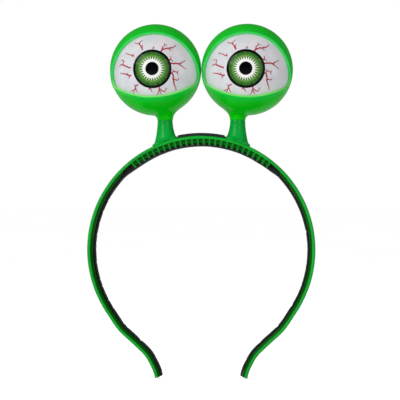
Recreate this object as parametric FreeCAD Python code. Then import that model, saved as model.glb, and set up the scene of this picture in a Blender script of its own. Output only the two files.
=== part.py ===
import FreeCAD, Part
import math
import os

# Light-up eyeball bopper headband: a head ring with two eyeballs on sprung posts.
# Frame: the origin is the centre of the head ring, +Z is up through the crown,
# +X is to the right of someone facing the object, and the eyes look along -Y.
# Angles on the ring are degrees from the top, positive towards +X.
# Inside an eyeball, u and v are X and Z measured from the ball's centre.
# All lengths are millimetres.

V = FreeCAD.Vector
ORIGIN = V(0, 0, 0)
X_AXIS, Y_AXIS, Z_AXIS = V(1, 0, 0), V(0, 1, 0), V(0, 0, 1)
SIDES = (-1, 1)            # left, right
FIT = 0.02                 # gap between touching pieces

# ---- head ring
BAND_R_OUT = 66.3
BAND_T = 1.9
BAND_HALF_T = BAND_T / 2.0
BAND_R_IN = BAND_R_OUT - BAND_T
BAND_R_MID = BAND_R_OUT - BAND_HALF_T
BAND_HALF_D = 7.0          # half of the front-to-back depth at the crown
TIP_HALF_D = 5.0           # the same at the curled tips
FLEX_ANGLE = 58.0          # flex joint between crown and arm
SEAT_R = 1.10              # hollow seat in the crown's end
NOSE_R = 0.95              # round nose on the arm
ARM_ARC_END = 124.0        # the arm leaves the circle here and curls
# centreline of the right-hand curled tip: X, Z
TIP_PATH = [(46.9, -46.9), (40.9, -52.5), (35.65, -57.4), (32.0, -61.2),
            (28.75, -66.7), (26.8, -71.1), (25.9, -74.5)]
TIP_STEPS = 22             # samples along the tip for its offset curves
END_PULL = 12              # size of the splines' end tangents

# ---- comb teeth, along the crown's front edge
TEETH_PER_SIDE = 13
TOOTH_PITCH = 3.07         # degrees
TOOTH_HALF_W = 0.85
TOOTH_TIP_R = 60.7
TOOTH_ROOT = 0.4           # overlap into the band
TOOTH_Y0, TOOTH_Y1 = -6.8, -3.7

# ---- ribs, pad and liners on the inside of the ring
RIB_T = 1.25
RIB_INSET = 1.2            # from the band's front and rear edges
RIB_ROOT = 0.4             # overlap into the arm
RIB_START = 61.5
CROWN_RIB_A0, CROWN_RIB_A1 = 44.0, 56.2
CROWN_RIB_ROOT = 0.3
PAD_GAP = 0.05
PAD_R_IN = 60.3
PAD_R_OUT = BAND_R_IN - PAD_GAP
PAD_HALF_ANGLE = 55.5
PAD_Y0, PAD_Y1 = -3.4, 6.6
PAD_RIB_GAP = 0.06         # degrees at each end of a crown rib
LINER_GAP = 0.05
LINER_Y0, LINER_Y1 = -1.6, 3.7
# how the liner thins along the arm: angle, thickness
LINER_RAMP = [(61.8, 1.3), (66, 1.29), (77, 1.19), (87, 1.11), (92, 1.1)]
LINER_A0 = LINER_RAMP[0][0]
LINER_BLEND_END, LINER_T = LINER_RAMP[-1]

# ---- wires across the crown and their cover
WIRE_R_PATH = 66.95
WIRE_R = 0.42
WIRE_DY = 0.5
WIRE_ANGLE = 18.0
WIRE_TOP_Z = 70.9
CHANNEL_R = WIRE_R_PATH + WIRE_R + 0.15
CHANNEL_HALF_D = 1.3
COVER_HALF_ANGLE = 11.7
COVER_R = 68.1
COVER_HALF_D = 4.6

# ---- stem posts, screws and neck springs
POST_X = 21.2
POST_ANGLE = math.degrees(math.asin(POST_X / BAND_R_OUT))
FOOT_HALF_ANGLE = 6.5
FOOT_R = 68.0
FOOT_HALF_D = 6.2
FOOT_CORNER_R = 3.2
# flared outside of the post: radius, Z
POST_PROFILE = [(7.0, 63.5), (6.45, 65.2), (5.75, 67.4), (5.0, 69.8),
                (4.45, 72.0), (4.12, 73.4), (3.93, 74.0)]
POST_BASE_Z = 58           # below the band, trimmed off later
PIVOT_Z = 74.5             # centre of the post's domed top
DOME_R = 3.8
BORE_R = 2.9
# two screws per post: degrees outward from the post, Y
STEM_SCREWS = ((-3.3, 3.3), (4.2, 0.0))
SCREW_SPOTS = [(s * (POST_ANGLE + da), y) for s in SIDES for da, y in STEM_SCREWS]
STEM_SHANK_R, STEM_SHANK_END = 0.85, 68.3
STEM_HOLE_END = 68.5
STEM_HEAD_R, STEM_HEAD_H = 1.7, 0.97
SPRING_R, SPRING_WIRE_R = 1.6, 0.25
SPRING_Z0, SPRING_Z1 = 71.4, 77.6
SPRING_PITCH = 0.85

# ---- eyeballs
BALL_X, BALL_Z = 26.74, 105.0
BALL_R, SHELL_IN_R = 26.4, 24.9
BEYOND = 30                # reaches past the ball from its centre
EYE_R, EYE_IN_R = 24.8, 23.2
EYE_REAR_Y = -1.0
UPPER_LID = (-5.3, 24.6)   # circle of the lid edge: centre v, radius
LOWER_LID = (27.5, 43.3)
IRIS_R, IRIS_V, IRIS_T = 11.2, -1.0, 0.15
CUP_R = 3.9                # socket over the post's dome
NECK_R = 4.1
NECK_Z0 = PIVOT_Z + 1.2
NECK_TOP_Z = 85.0
NECK_GAP = 0.06            # between the neck and the rear shell
# flare of the neck: extra radius, height above its lower end
NECK_PROFILE = [(0, 0), (0.06, 1.0), (0.6, 2.6), (1.8, 4.3), (3.9, 6.3), (6.4, 8.3)]

# ---- LED board
BOARD_R = 17.0
BOARD_Y0, BOARD_Y1 = 1.0, 2.0
BOARD_HOLE_R = 0.95
BOSS_U, BOSS_R = 14.2, 2.1
BOSS_PILOT_R, BOSS_PILOT_END = 0.85, 9
LED_U, LED_V = 5.5, 2.0
LED_R, LED_BODY = 2.5, 6.1
LED_RIM_R, LED_RIM_H = 2.9, 1.0
# one lead, mirrored for the other: X from the post's axis, Y, Z
LEAD_PATH = [(0.55, 0.9, 79.3), (0.55, 1.5, 82.0), (0.6, 3.6, 86.0),
             (0.9, 4.2, 90.0), (1.2, 3.6, 92.6), (1.2, 2.65, 94.0)]

# ---- battery and switch parts, in the left ball only
MASTER_X = -BALL_X
TRAY_U, TRAY_V = 12.0, 7.5
TRAY_Y0, TRAY_Y1 = 5.0, 18.0
CAVITY_U, CAVITY_V = 9.8, 5.95
TRAY_FLOOR = 1.2
CELL_R, CELL_H, CELL_COUNT = 5.8, 5.4, 3
CELL_CAP_H, CELL_CAP_INSET = 0.5, 1.1
CELL_Y = 12.3
CONTACT_U = 9.5            # inner face of either contact plate
CONTACT_HALF_V = 4
DOOR_R, DOOR_HOLE_R = 12.4, 12.6
DOOR_SCREW_V = -9.9
DOOR_HEAD_Y = math.sqrt(BALL_R ** 2 - DOOR_SCREW_V ** 2) - 1.4
BUTTON_V = 16.5            # where the button's axis meets the ball's surface
BUTTON_R, BUTTON_HOLE_R = 2.6, 2.68
BUTTON_BOTTOM, BUTTON_TOP = 21.6, 27.4   # distances from the ball's centre
SEAT_DIST = 16.4           # the switch seat, likewise
SWITCH_W, SWITCH_H = 6, 3.5
BALL_CENTRE = V(MASTER_X, 0, BALL_Z)
BUTTON_AXIS = V(0, math.sqrt(BALL_R ** 2 - BUTTON_V ** 2), BUTTON_V) * (1.0 / BALL_R)


# ------------------------------------------------------------------- helpers
def save(name, shape):
    shape.exportStep("parts/" + name + ".step")


def save_pair(name, right):
    """Save a right-hand piece and its left-hand twin."""
    save(name + "_right", right)
    save(name + "_left", right.mirror(ORIGIN, X_AXIS))


def polar(radius, deg, y=0.0):
    a = math.radians(deg)
    return V(radius * math.sin(a), y, radius * math.cos(a))


def tangent(deg):
    """Unit vector along the ring, towards larger angles."""
    return polar(1, deg + 90)


def arc(start, middle, end):
    return Part.Arc(start, middle, end).toShape()


def line(start, end):
    return Part.LineSegment(start, end).toShape()


def spline(points):
    curve = Part.BSplineCurve()
    curve.interpolate(Points=points)
    return curve


def guided_spline(points, start_dir, end_dir):
    curve = Part.BSplineCurve()
    curve.interpolate(Points=points, InitialTangent=start_dir * END_PULL,
                      FinalTangent=end_dir * END_PULL)
    return curve


def prism_y(edges, depth):
    wire = Part.Wire(Part.__sortEdges__(edges))
    return Part.Face(wire).extrude(V(0, depth, 0))


def prism_x(points, depth):
    return Part.Face(Part.makePolygon(points + [points[0]])).extrude(V(depth, 0, 0))


def sector(r0, r1, a0, a1, y0, y1):
    """Piece of a ring between two radii, two angles and two depths."""
    middle = (a0 + a1) / 2.0
    return prism_y([
        arc(polar(r0, a0, y0), polar(r0, middle, y0), polar(r0, a1, y0)),
        line(polar(r0, a1, y0), polar(r1, a1, y0)),
        arc(polar(r1, a1, y0), polar(r1, middle, y0), polar(r1, a0, y0)),
        line(polar(r1, a0, y0), polar(r0, a0, y0)),
    ], y1 - y0)


def cylinder(base, axis, radius, height):
    return Part.makeCylinder(radius, height, base, axis)


def box(x0, x1, y0, y1, z0, z1):
    return Part.makeBox(x1 - x0, y1 - y0, z1 - z0, V(x0, y0, z0))


def one(shape):
    """The largest solid of a boolean's result."""
    return max(shape.removeSplitter().Solids, key=lambda s: s.Volume)


def solid_of(shape):
    if shape.Solids:
        return shape.Solids[0]
    return Part.Solid(shape.Shells[0])


def turned(edges, x):
    """Solid of revolution about the vertical line at x; edges are drawn about Z."""
    solid = solid_of(Part.Face(Part.Wire(edges)).revolve(ORIGIN, Z_AXIS, 360))
    solid.translate(V(x, 0, 0))
    return solid


def sweep_circle(path, start, direction, radius):
    ring = Part.Wire([Part.makeCircle(radius, start, direction)])
    return solid_of(path.makePipeShell([ring], True, True))


def coil(pitch, height, radius, wire_r):
    helix = Part.makeHelix(pitch, height, radius)
    return sweep_circle(Part.Wire(helix.Edges), V(radius, 0, 0), Y_AXIS, wire_r)


def wire_channel(a0, a1):
    return sector(BAND_R_OUT - 1, CHANNEL_R, a0, a1, -CHANNEL_HALF_D, CHANNEL_HALF_D)


# ------------------------------------------------------ crown, wires and pad
def crown_wires():
    """Two wires that lie on the crown and turn up inside both posts."""
    wires = []
    for y in (-WIRE_DY, WIRE_DY):
        circle = Part.makeCircle(WIRE_R, polar(WIRE_R_PATH, -WIRE_ANGLE, y),
                                 tangent(-WIRE_ANGLE))
        wire = Part.Face(Part.Wire([circle])).revolve(V(0, y, 0), Y_AXIS, 2 * WIRE_ANGLE)
        for s in SIDES:
            bend = polar(WIRE_R_PATH, s * WIRE_ANGLE, y)
            wire = wire.fuse(Part.makeSphere(WIRE_R, bend))
            wire = wire.fuse(cylinder(bend, Z_AXIS, WIRE_R, WIRE_TOP_Z - bend.z))
        wires.append(one(wire))
    return Part.makeCompound(wires)


def tooth(angle):
    """Radial comb tooth with a rounded tip."""
    radial = polar(1, angle)
    side = tangent(angle) * TOOTH_HALF_W
    front = V(0, TOOTH_Y0, 0)
    root = radial * (BAND_R_IN + TOOTH_ROOT) + front
    shoulder = radial * (TOOTH_TIP_R + TOOTH_HALF_W) + front
    tip = radial * TOOTH_TIP_R + front
    return prism_y([
        line(root + side, shoulder + side),
        arc(shoulder + side, tip, shoulder - side),
        line(shoulder - side, root - side),
        line(root - side, root + side),
    ], TOOTH_Y1 - TOOTH_Y0)


def screw_holes():
    start = BAND_R_IN - 2
    return [cylinder(polar(start, a, y), polar(1, a), STEM_SHANK_R + 0.05,
                     STEM_HOLE_END - start) for a, y in SCREW_SPOTS]


def headband_crown():
    crown = sector(BAND_R_IN, BAND_R_OUT, -FLEX_ANGLE, FLEX_ANGLE, -BAND_HALF_D, BAND_HALF_D)
    for s in SIDES:
        base = polar(BAND_R_MID, s * FLEX_ANGLE, -BAND_HALF_D - 1)
        crown = crown.cut(cylinder(base, Y_AXIS, SEAT_R, 2 * BAND_HALF_D + 2))
    crown = crown.fuse([tooth(s * TOOTH_PITCH * (i + 0.5))
                        for i in range(TEETH_PER_SIDE) for s in SIDES])
    # a short rib just past the comb, in line with the arm's rib
    rib_half_d = BAND_HALF_D - RIB_INSET
    for s in SIDES:
        a0, a1 = sorted((s * CROWN_RIB_A0, s * CROWN_RIB_A1))
        crown = crown.fuse(sector(BAND_R_IN - RIB_T, BAND_R_IN + CROWN_RIB_ROOT, a0, a1,
                                  -rib_half_d, rib_half_d))
    for hole in screw_holes():
        crown = crown.cut(hole)
    return one(crown)


def stem_screws():
    """Radial cross-head screws, from inside the band up into the posts."""
    shank_start = BAND_R_IN - 0.5
    slot_half_l, slot_half_w, slot_depth = 1.2, 0.25, 0.6
    screws = []
    for a, y in SCREW_SPOTS:
        out = polar(1, a)
        head = cylinder(polar(BAND_R_IN - 1.05, a, y), out, STEM_HEAD_R, STEM_HEAD_H)
        shank = cylinder(polar(shank_start, a, y), out, STEM_SHANK_R,
                         STEM_SHANK_END - shank_start)
        cross = box(-slot_half_l, slot_half_l, -slot_half_w, slot_half_w, 0, slot_depth)
        cross = cross.fuse(
            box(-slot_half_w, slot_half_w, -slot_half_l, slot_half_l, 0, slot_depth))
        cross.rotate(ORIGIN, Y_AXIS, a)
        cross.translate(polar(BAND_R_IN - 1.1, a, y))
        screws.append(one(head.fuse(shank).cut(cross)))
    return Part.makeCompound(screws)


def crown_pad():
    """Soft pad on the head, relieved for the screw heads and crown ribs."""
    pad = sector(PAD_R_IN, PAD_R_OUT, -PAD_HALF_ANGLE, PAD_HALF_ANGLE, PAD_Y0, PAD_Y1)
    for a, y in SCREW_SPOTS:
        pad = pad.cut(cylinder(polar(BAND_R_IN - 1.7, a, y), polar(1, a),
                               STEM_HEAD_R + 0.3, 3.0))
    for s in SIDES:
        a0, a1 = sorted((s * (CROWN_RIB_A0 - PAD_RIB_GAP), s * (CROWN_RIB_A1 + PAD_RIB_GAP)))
        pad = pad.cut(sector(BAND_R_IN - RIB_T - PAD_GAP, BAND_R_IN + 1, a0, a1,
                             -BAND_HALF_D, BAND_HALF_D))
    return one(pad)


def wire_cover():
    cover = sector(BAND_R_OUT + FIT, COVER_R, -COVER_HALF_ANGLE, COVER_HALF_ANGLE,
                   -COVER_HALF_D, COVER_HALF_D)
    return one(cover.cut(wire_channel(-COVER_HALF_ANGLE - 1, COVER_HALF_ANGLE + 1)))


# ---------------------------------------------------------------------- arms
def tip_stations():
    """Point, direction and outward normal at even steps along the curled tip."""
    points = [polar(BAND_R_MID, ARM_ARC_END)] + [V(x, 0, z) for x, z in TIP_PATH]
    end_dir = points[-1] - points[-2]
    end_dir.normalize()
    curve = guided_spline(points, tangent(ARM_ARC_END), end_dir)
    first, last = curve.FirstParameter, curve.LastParameter
    stations = []
    for i in range(TIP_STEPS + 1):
        t = first + (last - first) * i / TIP_STEPS
        direction = curve.tangent(t)[0]
        direction.normalize()
        stations.append((curve.value(t), direction, V(-direction.z, 0, direction.x)))
    return stations


def arm_line(offset, start_angle, y, stations):
    """Arc and tip curve at an offset from the band's centreline, and the end point."""
    points = [p + normal * offset + V(0, y, 0) for p, _, normal in stations]
    tip = guided_spline(points, stations[0][1], stations[-1][1])
    radius = BAND_R_MID + offset
    middle = (start_angle + ARM_ARC_END) / 2.0
    bow = arc(polar(radius, start_angle, y), polar(radius, middle, y), points[0])
    return [bow, tip.toShape()], points[-1]


def taper(crown_half_d, tip_half_d):
    """Block on the right that narrows from front to back towards the tips."""
    top_z, start_z, end_z, reach_x = 90, 10, -78, 90
    return prism_x([
        V(0, -crown_half_d, top_z), V(0, -crown_half_d, start_z), V(0, -tip_half_d, end_z),
        V(0, tip_half_d, end_z), V(0, crown_half_d, start_z), V(0, crown_half_d, top_z),
    ], reach_x)


def headband_arm(stations):
    y = -BAND_HALF_D
    inner, inner_end = arm_line(-BAND_HALF_T, FLEX_ANGLE, y, stations)
    outer, outer_end = arm_line(BAND_HALF_T, FLEX_ANGLE, y, stations)
    nose = arc(polar(BAND_R_OUT, FLEX_ANGLE, y),
               polar(BAND_R_MID, FLEX_ANGLE, y) - tangent(FLEX_ANGLE) * NOSE_R,
               polar(BAND_R_IN, FLEX_ANGLE, y))
    arm = prism_y(inner + [line(inner_end, outer_end)] + outer + [nose], 2 * BAND_HALF_D)
    arm = one(arm.common(taper(BAND_HALF_D, TIP_HALF_D)))

    inner, inner_end = arm_line(-BAND_HALF_T - RIB_T, RIB_START, y, stations)
    outer, outer_end = arm_line(-BAND_HALF_T + RIB_ROOT, RIB_START, y, stations)
    start = line(polar(BAND_R_IN + RIB_ROOT, RIB_START, y),
                 polar(BAND_R_IN - RIB_T, RIB_START, y))
    rib = prism_y(inner + [line(inner_end, outer_end)] + outer + [start], 2 * BAND_HALF_D)
    rib = rib.common(taper(BAND_HALF_D - RIB_INSET, TIP_HALF_D - RIB_INSET))
    return one(arm.fuse(one(rib)))


def arm_liner(stations):
    """Thin strip on the arm's rib; it stops one station short of the tip."""
    y = LINER_Y0
    offset = -BAND_HALF_T - RIB_T - LINER_GAP
    r_out = BAND_R_MID + offset
    ramp = [polar(r_out - thickness, a, y) for a, thickness in LINER_RAMP]
    inner, inner_end = arm_line(offset - LINER_T, LINER_BLEND_END, y, stations[:-1])
    outer, outer_end = arm_line(offset, LINER_A0, y, stations[:-1])
    start = [line(polar(r_out, LINER_A0, y), ramp[0]), spline(ramp).toShape()]
    edges = start + inner + [line(inner_end, outer_end)] + outer
    return prism_y(edges, LINER_Y1 - LINER_Y0).Solids[0]


# --------------------------------------------------------- posts and springs
def stem_post():
    flare = [V(r, 0, z) for r, z in POST_PROFILE]
    base, base_rim = V(0, 0, POST_BASE_Z), V(flare[0].x, 0, POST_BASE_Z)
    pivot = V(0, 0, PIVOT_Z)
    dome_rim, dome_top = pivot + X_AXIS * DOME_R, pivot + Z_AXIS * DOME_R
    post = turned([
        line(base, base_rim),
        line(base_rim, flare[0]),
        spline(flare).toShape(),
        line(flare[-1], dome_rim),
        arc(dome_rim, pivot + polar(DOME_R, 45), dome_top),
        line(dome_top, base),
    ], POST_X)
    # the post only exists above the band
    foot_r_in = BAND_R_OUT + FIT
    post = post.cut(cylinder(V(0, -20, 0), Y_AXIS, foot_r_in, 40))
    foot = sector(foot_r_in, FOOT_R, POST_ANGLE - FOOT_HALF_ANGLE,
                  POST_ANGLE + FOOT_HALF_ANGLE, -FOOT_HALF_D, FOOT_HALF_D)
    corners = [e for e in foot.Edges if abs(e.Length - (FOOT_R - foot_r_in)) < 1e-3]
    post = post.fuse(foot.makeFillet(FOOT_CORNER_R, corners))
    post = post.cut(cylinder(V(POST_X, 0, 60), Z_AXIS, BORE_R, 25))
    post = post.cut(wire_channel(POST_ANGLE - 8, POST_ANGLE))
    for hole in screw_holes():
        post = post.cut(hole)
    return one(post)


def neck_spring():
    spring = coil(SPRING_PITCH, SPRING_Z1 - SPRING_Z0, SPRING_R, SPRING_WIRE_R)
    spring.translate(V(POST_X, 0, SPRING_Z0))
    return spring


# ------------------------------------------------------------------ eyeballs
def ball(ball_x, radius):
    return Part.makeSphere(radius, V(ball_x, 0, BALL_Z), Y_AXIS)


def hollow_ball(ball_x, r_out, r_in):
    return ball(ball_x, r_out).cut(ball(ball_x, r_in))


def ball_cyl(ball_x, u, v, y, radius, depth):
    """Cylinder running back along +Y from y."""
    return cylinder(V(ball_x + u, y, BALL_Z + v), Y_AXIS, radius, depth)


def ball_box(ball_x, u0, u1, y0, y1, v0, v1):
    return box(ball_x + u0, ball_x + u1, y0, y1, BALL_Z + v0, BALL_Z + v1)


def slab(ball_x, y0, y1):
    """Everything of a ball between two depths."""
    return ball_box(ball_x, -BEYOND, BEYOND, y0, y1, -BEYOND, BEYOND)


def neck(post_x, grow=0.0):
    """Flared neck under the ball, coaxial with the stem post."""
    flare = [V(NECK_R + dr + grow, 0, NECK_Z0 + dz - grow) for dr, dz in NECK_PROFILE]
    bottom, top = V(0, 0, flare[0].z), V(0, 0, NECK_TOP_Z)
    top_rim = V(flare[-1].x, 0, NECK_TOP_Z)
    return turned([
        line(bottom, flare[0]),
        spline(flare).toShape(),
        line(flare[-1], top_rim),
        line(top_rim, top),
        line(top, bottom),
    ], post_x)


def lid_shell(ball_x, post_x):
    """Front half with the neck, and an almond opening between the lids."""
    inside = ball(ball_x, SHELL_IN_R)
    upper, lower = [ball_cyl(ball_x, 0, v, -40, r, 38) for v, r in (UPPER_LID, LOWER_LID)]
    front = hollow_ball(ball_x, BALL_R, SHELL_IN_R).common(slab(ball_x, -BEYOND, -FIT))
    front = front.fuse(neck(post_x).cut(inside))
    front = front.cut(Part.makeSphere(CUP_R, V(post_x, 0, PIVOT_Z)))
    front = front.cut(cylinder(V(post_x, 0, 70), Z_AXIS, BORE_R, 14))
    return one(front.cut(upper.common(lower)))


def rear_shell(ball_x, post_x):
    rear = hollow_ball(ball_x, BALL_R, SHELL_IN_R).common(slab(ball_x, FIT, BEYOND))
    rear = rear.cut(neck(post_x, NECK_GAP))
    for s in SIDES:
        boss = ball_cyl(ball_x, s * BOSS_U, 0, BOARD_Y1 + FIT, BOSS_R, 24)
        rear = rear.fuse(boss.common(ball(ball_x, BALL_R - 0.6)))
    for s in SIDES:
        rear = rear.cut(ball_cyl(ball_x, s * BOSS_U, 0, 0, BOSS_PILOT_R, BOSS_PILOT_END))
    if ball_x == MASTER_X:
        rear = rear.cut(ball_cyl(ball_x, 0, 0, 10, DOOR_HOLE_R, 30))
        rear = rear.cut(cylinder(BALL_CENTRE + BUTTON_AXIS * 18, BUTTON_AXIS,
                                 BUTTON_HOLE_R, 14))
    return one(rear)


def eyeball_dome(ball_x):
    """White dome behind the lids."""
    dome = hollow_ball(ball_x, EYE_R, EYE_IN_R)
    return one(dome.common(slab(ball_x, -BEYOND, EYE_REAR_Y)))


def iris_label(ball_x):
    label = hollow_ball(ball_x, EYE_R + IRIS_T, EYE_R + 0.001)
    return one(label.common(ball_cyl(ball_x, 0, IRIS_V, -BEYOND, IRIS_R, 20)))


def led_board(ball_x):
    board = ball_cyl(ball_x, 0, 0, BOARD_Y0, BOARD_R, BOARD_Y1 - BOARD_Y0)
    for s in SIDES:
        board = board.cut(ball_cyl(ball_x, s * BOSS_U, 0, 0, BOARD_HOLE_R, 4))
    return one(board)


def board_screws(ball_x):
    """Slotted screws through the board into the rear shell's bosses."""
    head_r, head_h, shank_r, length = 1.6, 0.98, 0.8, 8.0
    y = BOARD_Y0 - 1.0
    screws = []
    for s in SIDES:
        u = s * BOSS_U
        screw = ball_cyl(ball_x, u, 0, y, head_r, head_h)
        screw = screw.fuse(ball_cyl(ball_x, u, 0, y, shank_r, length))
        slot = ball_box(ball_x, u - 1.1, u + 1.1, y - 0.1, y + 0.5, -0.22, 0.22)
        screws.append(one(screw.cut(slot)))
    return Part.makeCompound(screws)


def leds(ball_x):
    """Two 5 mm LEDs looking forward through the dome."""
    group = []
    for s in SIDES:
        base = V(ball_x + s * LED_U, BOARD_Y0 - FIT, BALL_Z + LED_V)
        led = cylinder(base, -Y_AXIS, LED_RIM_R, LED_RIM_H)
        led = led.fuse(cylinder(base, -Y_AXIS, LED_R, LED_BODY))
        led = led.fuse(Part.makeSphere(LED_R, base + V(0, -LED_BODY, 0)))
        group.append(one(led))
    return Part.makeCompound(group)


def led_leads(post_x):
    """Two insulated leads from the neck up to the back of the LED board."""
    leads = []
    for s in SIDES:
        points = [V(post_x + dx * s, y, z) for dx, y, z in LEAD_PATH]
        curve = spline(points)
        start_dir = curve.tangent(curve.FirstParameter)[0]
        path = Part.Wire([curve.toShape()])
        leads.append(sweep_circle(path, points[0], start_dir, WIRE_R))
    return Part.makeCompound(leads)


# ---------------------------------------------- battery and switch, left ball
def flasher_chip():
    """Black blob on the back of the board: a cap of a sphere."""
    blob = Part.makeSphere(4.2, V(MASTER_X - 6.5, BOARD_Y1 - 2.6, BALL_Z + 11.0))
    return one(blob.common(ball_box(MASTER_X, -12, 0, BOARD_Y1 + 0.01, 12, 4, 18)))


def battery_tray():
    """Tray open at the back, with the switch seat on top and a screw lug below."""
    tray = ball_box(MASTER_X, -TRAY_U, TRAY_U, TRAY_Y0, TRAY_Y1, -TRAY_V, TRAY_V)
    tray = tray.cut(ball_box(MASTER_X, -CAVITY_U, CAVITY_U, TRAY_Y0 + TRAY_FLOOR,
                             TRAY_Y1 + 1, -CAVITY_V, CAVITY_V))
    overlap = 0.2
    seat_half = SWITCH_W / 2.0
    upslope = V(0, -BUTTON_AXIS.z, BUTTON_AXIS.y)
    seat = BALL_CENTRE + BUTTON_AXIS * SEAT_DIST
    low, high = seat - upslope * seat_half, seat + upslope * seat_half
    x, front_y, back_y = MASTER_X - seat_half, 9.5, 14.9
    bottom_z = BALL_Z + TRAY_V - overlap
    wedge = prism_x([V(x, front_y, bottom_z), V(x, back_y, bottom_z), V(x, low.y, low.z),
                     V(x, high.y, high.z), V(x, front_y, high.z)], SWITCH_W)
    lug = ball_cyl(MASTER_X, 0, DOOR_SCREW_V, 9.0, 2.3, 11.0)
    web = ball_box(MASTER_X, -1.2, 1.2, 9.0, 18.0, DOOR_SCREW_V, -TRAY_V + overlap)
    pilot = ball_cyl(MASTER_X, 0, DOOR_SCREW_V, 10.5, 1.0, 12)
    return one(tray.fuse([wedge, lug, web]).cut(pilot))


def button_cells():
    """A row of cells along X, each with its smaller cap towards +X."""
    cells = []
    for i in range(CELL_COUNT):
        end = V(MASTER_X + CONTACT_U - i * CELL_H, CELL_Y, BALL_Z)
        cell = cylinder(end - X_AXIS * (CELL_H - FIT), X_AXIS, CELL_R,
                        CELL_H - CELL_CAP_H - FIT)
        cap = cylinder(end - X_AXIS * CELL_CAP_H, X_AXIS, CELL_R - CELL_CAP_INSET,
                       CELL_CAP_H - 0.01)
        cells.append(one(cell.fuse(cap)))
    return Part.makeCompound(cells)


def contact(u0, u1):
    """Flat plate against an end wall of the tray's cavity."""
    return ball_box(MASTER_X, u0, u1, TRAY_Y0 + 2.5, TRAY_Y1 - 1.5,
                    -CONTACT_HALF_V, CONTACT_HALF_V)


def contact_spring():
    spring = coil(pitch=0.85, height=1.9, radius=2.6, wire_r=0.28)
    spring.rotate(ORIGIN, Y_AXIS, 90)
    spring.translate(V(MASTER_X - CONTACT_U + 0.25, CELL_Y, BALL_Z))
    return one(spring.fuse(contact(-CAVITY_U + 0.01, -CONTACT_U)))


def tact_switch():
    half = SWITCH_W / 2.0
    switch = box(-half, half, -half, half, 0, SWITCH_H)
    switch = switch.fuse(cylinder(V(0, 0, SWITCH_H), Z_AXIS, 1.6, 0.8))
    tilt = math.degrees(math.atan2(BUTTON_AXIS.y, BUTTON_AXIS.z))
    switch.rotate(ORIGIN, X_AXIS, -tilt)
    switch.translate(BALL_CENTRE + BUTTON_AXIS * (SEAT_DIST + FIT))
    return one(switch)


def push_button():
    """Button with a rounded outer rim and a flange inside the shell."""
    button = cylinder(BALL_CENTRE + BUTTON_AXIS * BUTTON_BOTTOM, BUTTON_AXIS, BUTTON_R,
                      BUTTON_TOP - BUTTON_BOTTOM)
    top = BALL_CENTRE + BUTTON_AXIS * BUTTON_TOP
    rim = [e for e in button.Edges if abs((e.CenterOfMass - top).Length) < 0.05]
    button = button.makeFillet(0.5, rim[:1])
    flange = cylinder(BALL_CENTRE + BUTTON_AXIS * 23.2, BUTTON_AXIS, 3.5, 1.1)
    return one(button.fuse(flange))


def door_cyl(y, radius, depth):
    """Cylinder on the door screw's axis."""
    return ball_cyl(MASTER_X, 0, DOOR_SCREW_V, y, radius, depth)


def battery_door():
    """Round cap of the shell, with a boss and a countersunk hole for its screw."""
    door = hollow_ball(MASTER_X, BALL_R, SHELL_IN_R)
    door = door.common(ball_cyl(MASTER_X, 0, 0, 10, DOOR_R, 30))
    door = door.fuse(door_cyl(20.05, 2.6, 6).common(ball(MASTER_X, BALL_R - 0.3)))
    door = door.cut(door_cyl(18, 1.05, 12))
    return one(door.cut(door_cyl(DOOR_HEAD_Y - FIT, 1.95, 6)))


def door_screw():
    screw = door_cyl(DOOR_HEAD_Y, 1.85, 1.1).fuse(door_cyl(DOOR_HEAD_Y - 11.0, 0.95, 11.5))
    for half_u, half_v in ((1.3, 0.25), (0.25, 1.3)):
        screw = screw.cut(ball_box(MASTER_X, -half_u, half_u, DOOR_HEAD_Y + 0.6,
                                   DOOR_HEAD_Y + 2, DOOR_SCREW_V - half_v,
                                   DOOR_SCREW_V + half_v))
    return one(screw)


# --------------------------------------------------------------------- build
os.makedirs("parts", exist_ok=True)

for piece in (crown_wires, headband_crown, stem_screws, crown_pad, wire_cover,
              flasher_chip, battery_tray, button_cells, contact_spring,
              tact_switch, push_button, battery_door, door_screw):
    save(piece.__name__, piece())
save("contact_plate", contact(CONTACT_U, CAVITY_U - 0.01))

tip = tip_stations()
save_pair("headband_arm", headband_arm(tip))
save_pair("arm_liner", arm_liner(tip))
save_pair("stem_post", stem_post())
save_pair("neck_spring", neck_spring())

for side, s in (("left", -1), ("right", 1)):
    eye_x, stem_x = s * BALL_X, s * POST_X
    save("lid_shell_" + side, lid_shell(eye_x, stem_x))
    save("rear_shell_" + side, rear_shell(eye_x, stem_x))
    for piece in (eyeball_dome, iris_label, led_board, board_screws, leds):
        save(piece.__name__ + "_" + side, piece(eye_x))
    save("led_leads_" + side, led_leads(stem_x))
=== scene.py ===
"""A headband with two green eyeballs standing over it on sprung necks.

The headband's arc is centred on the origin in the XZ plane. +Z is up, the eyes look towards -Y,
and the left arm and left eye are at -X. Sizes are in millimetres unless a comment says otherwise.
"""

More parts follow.
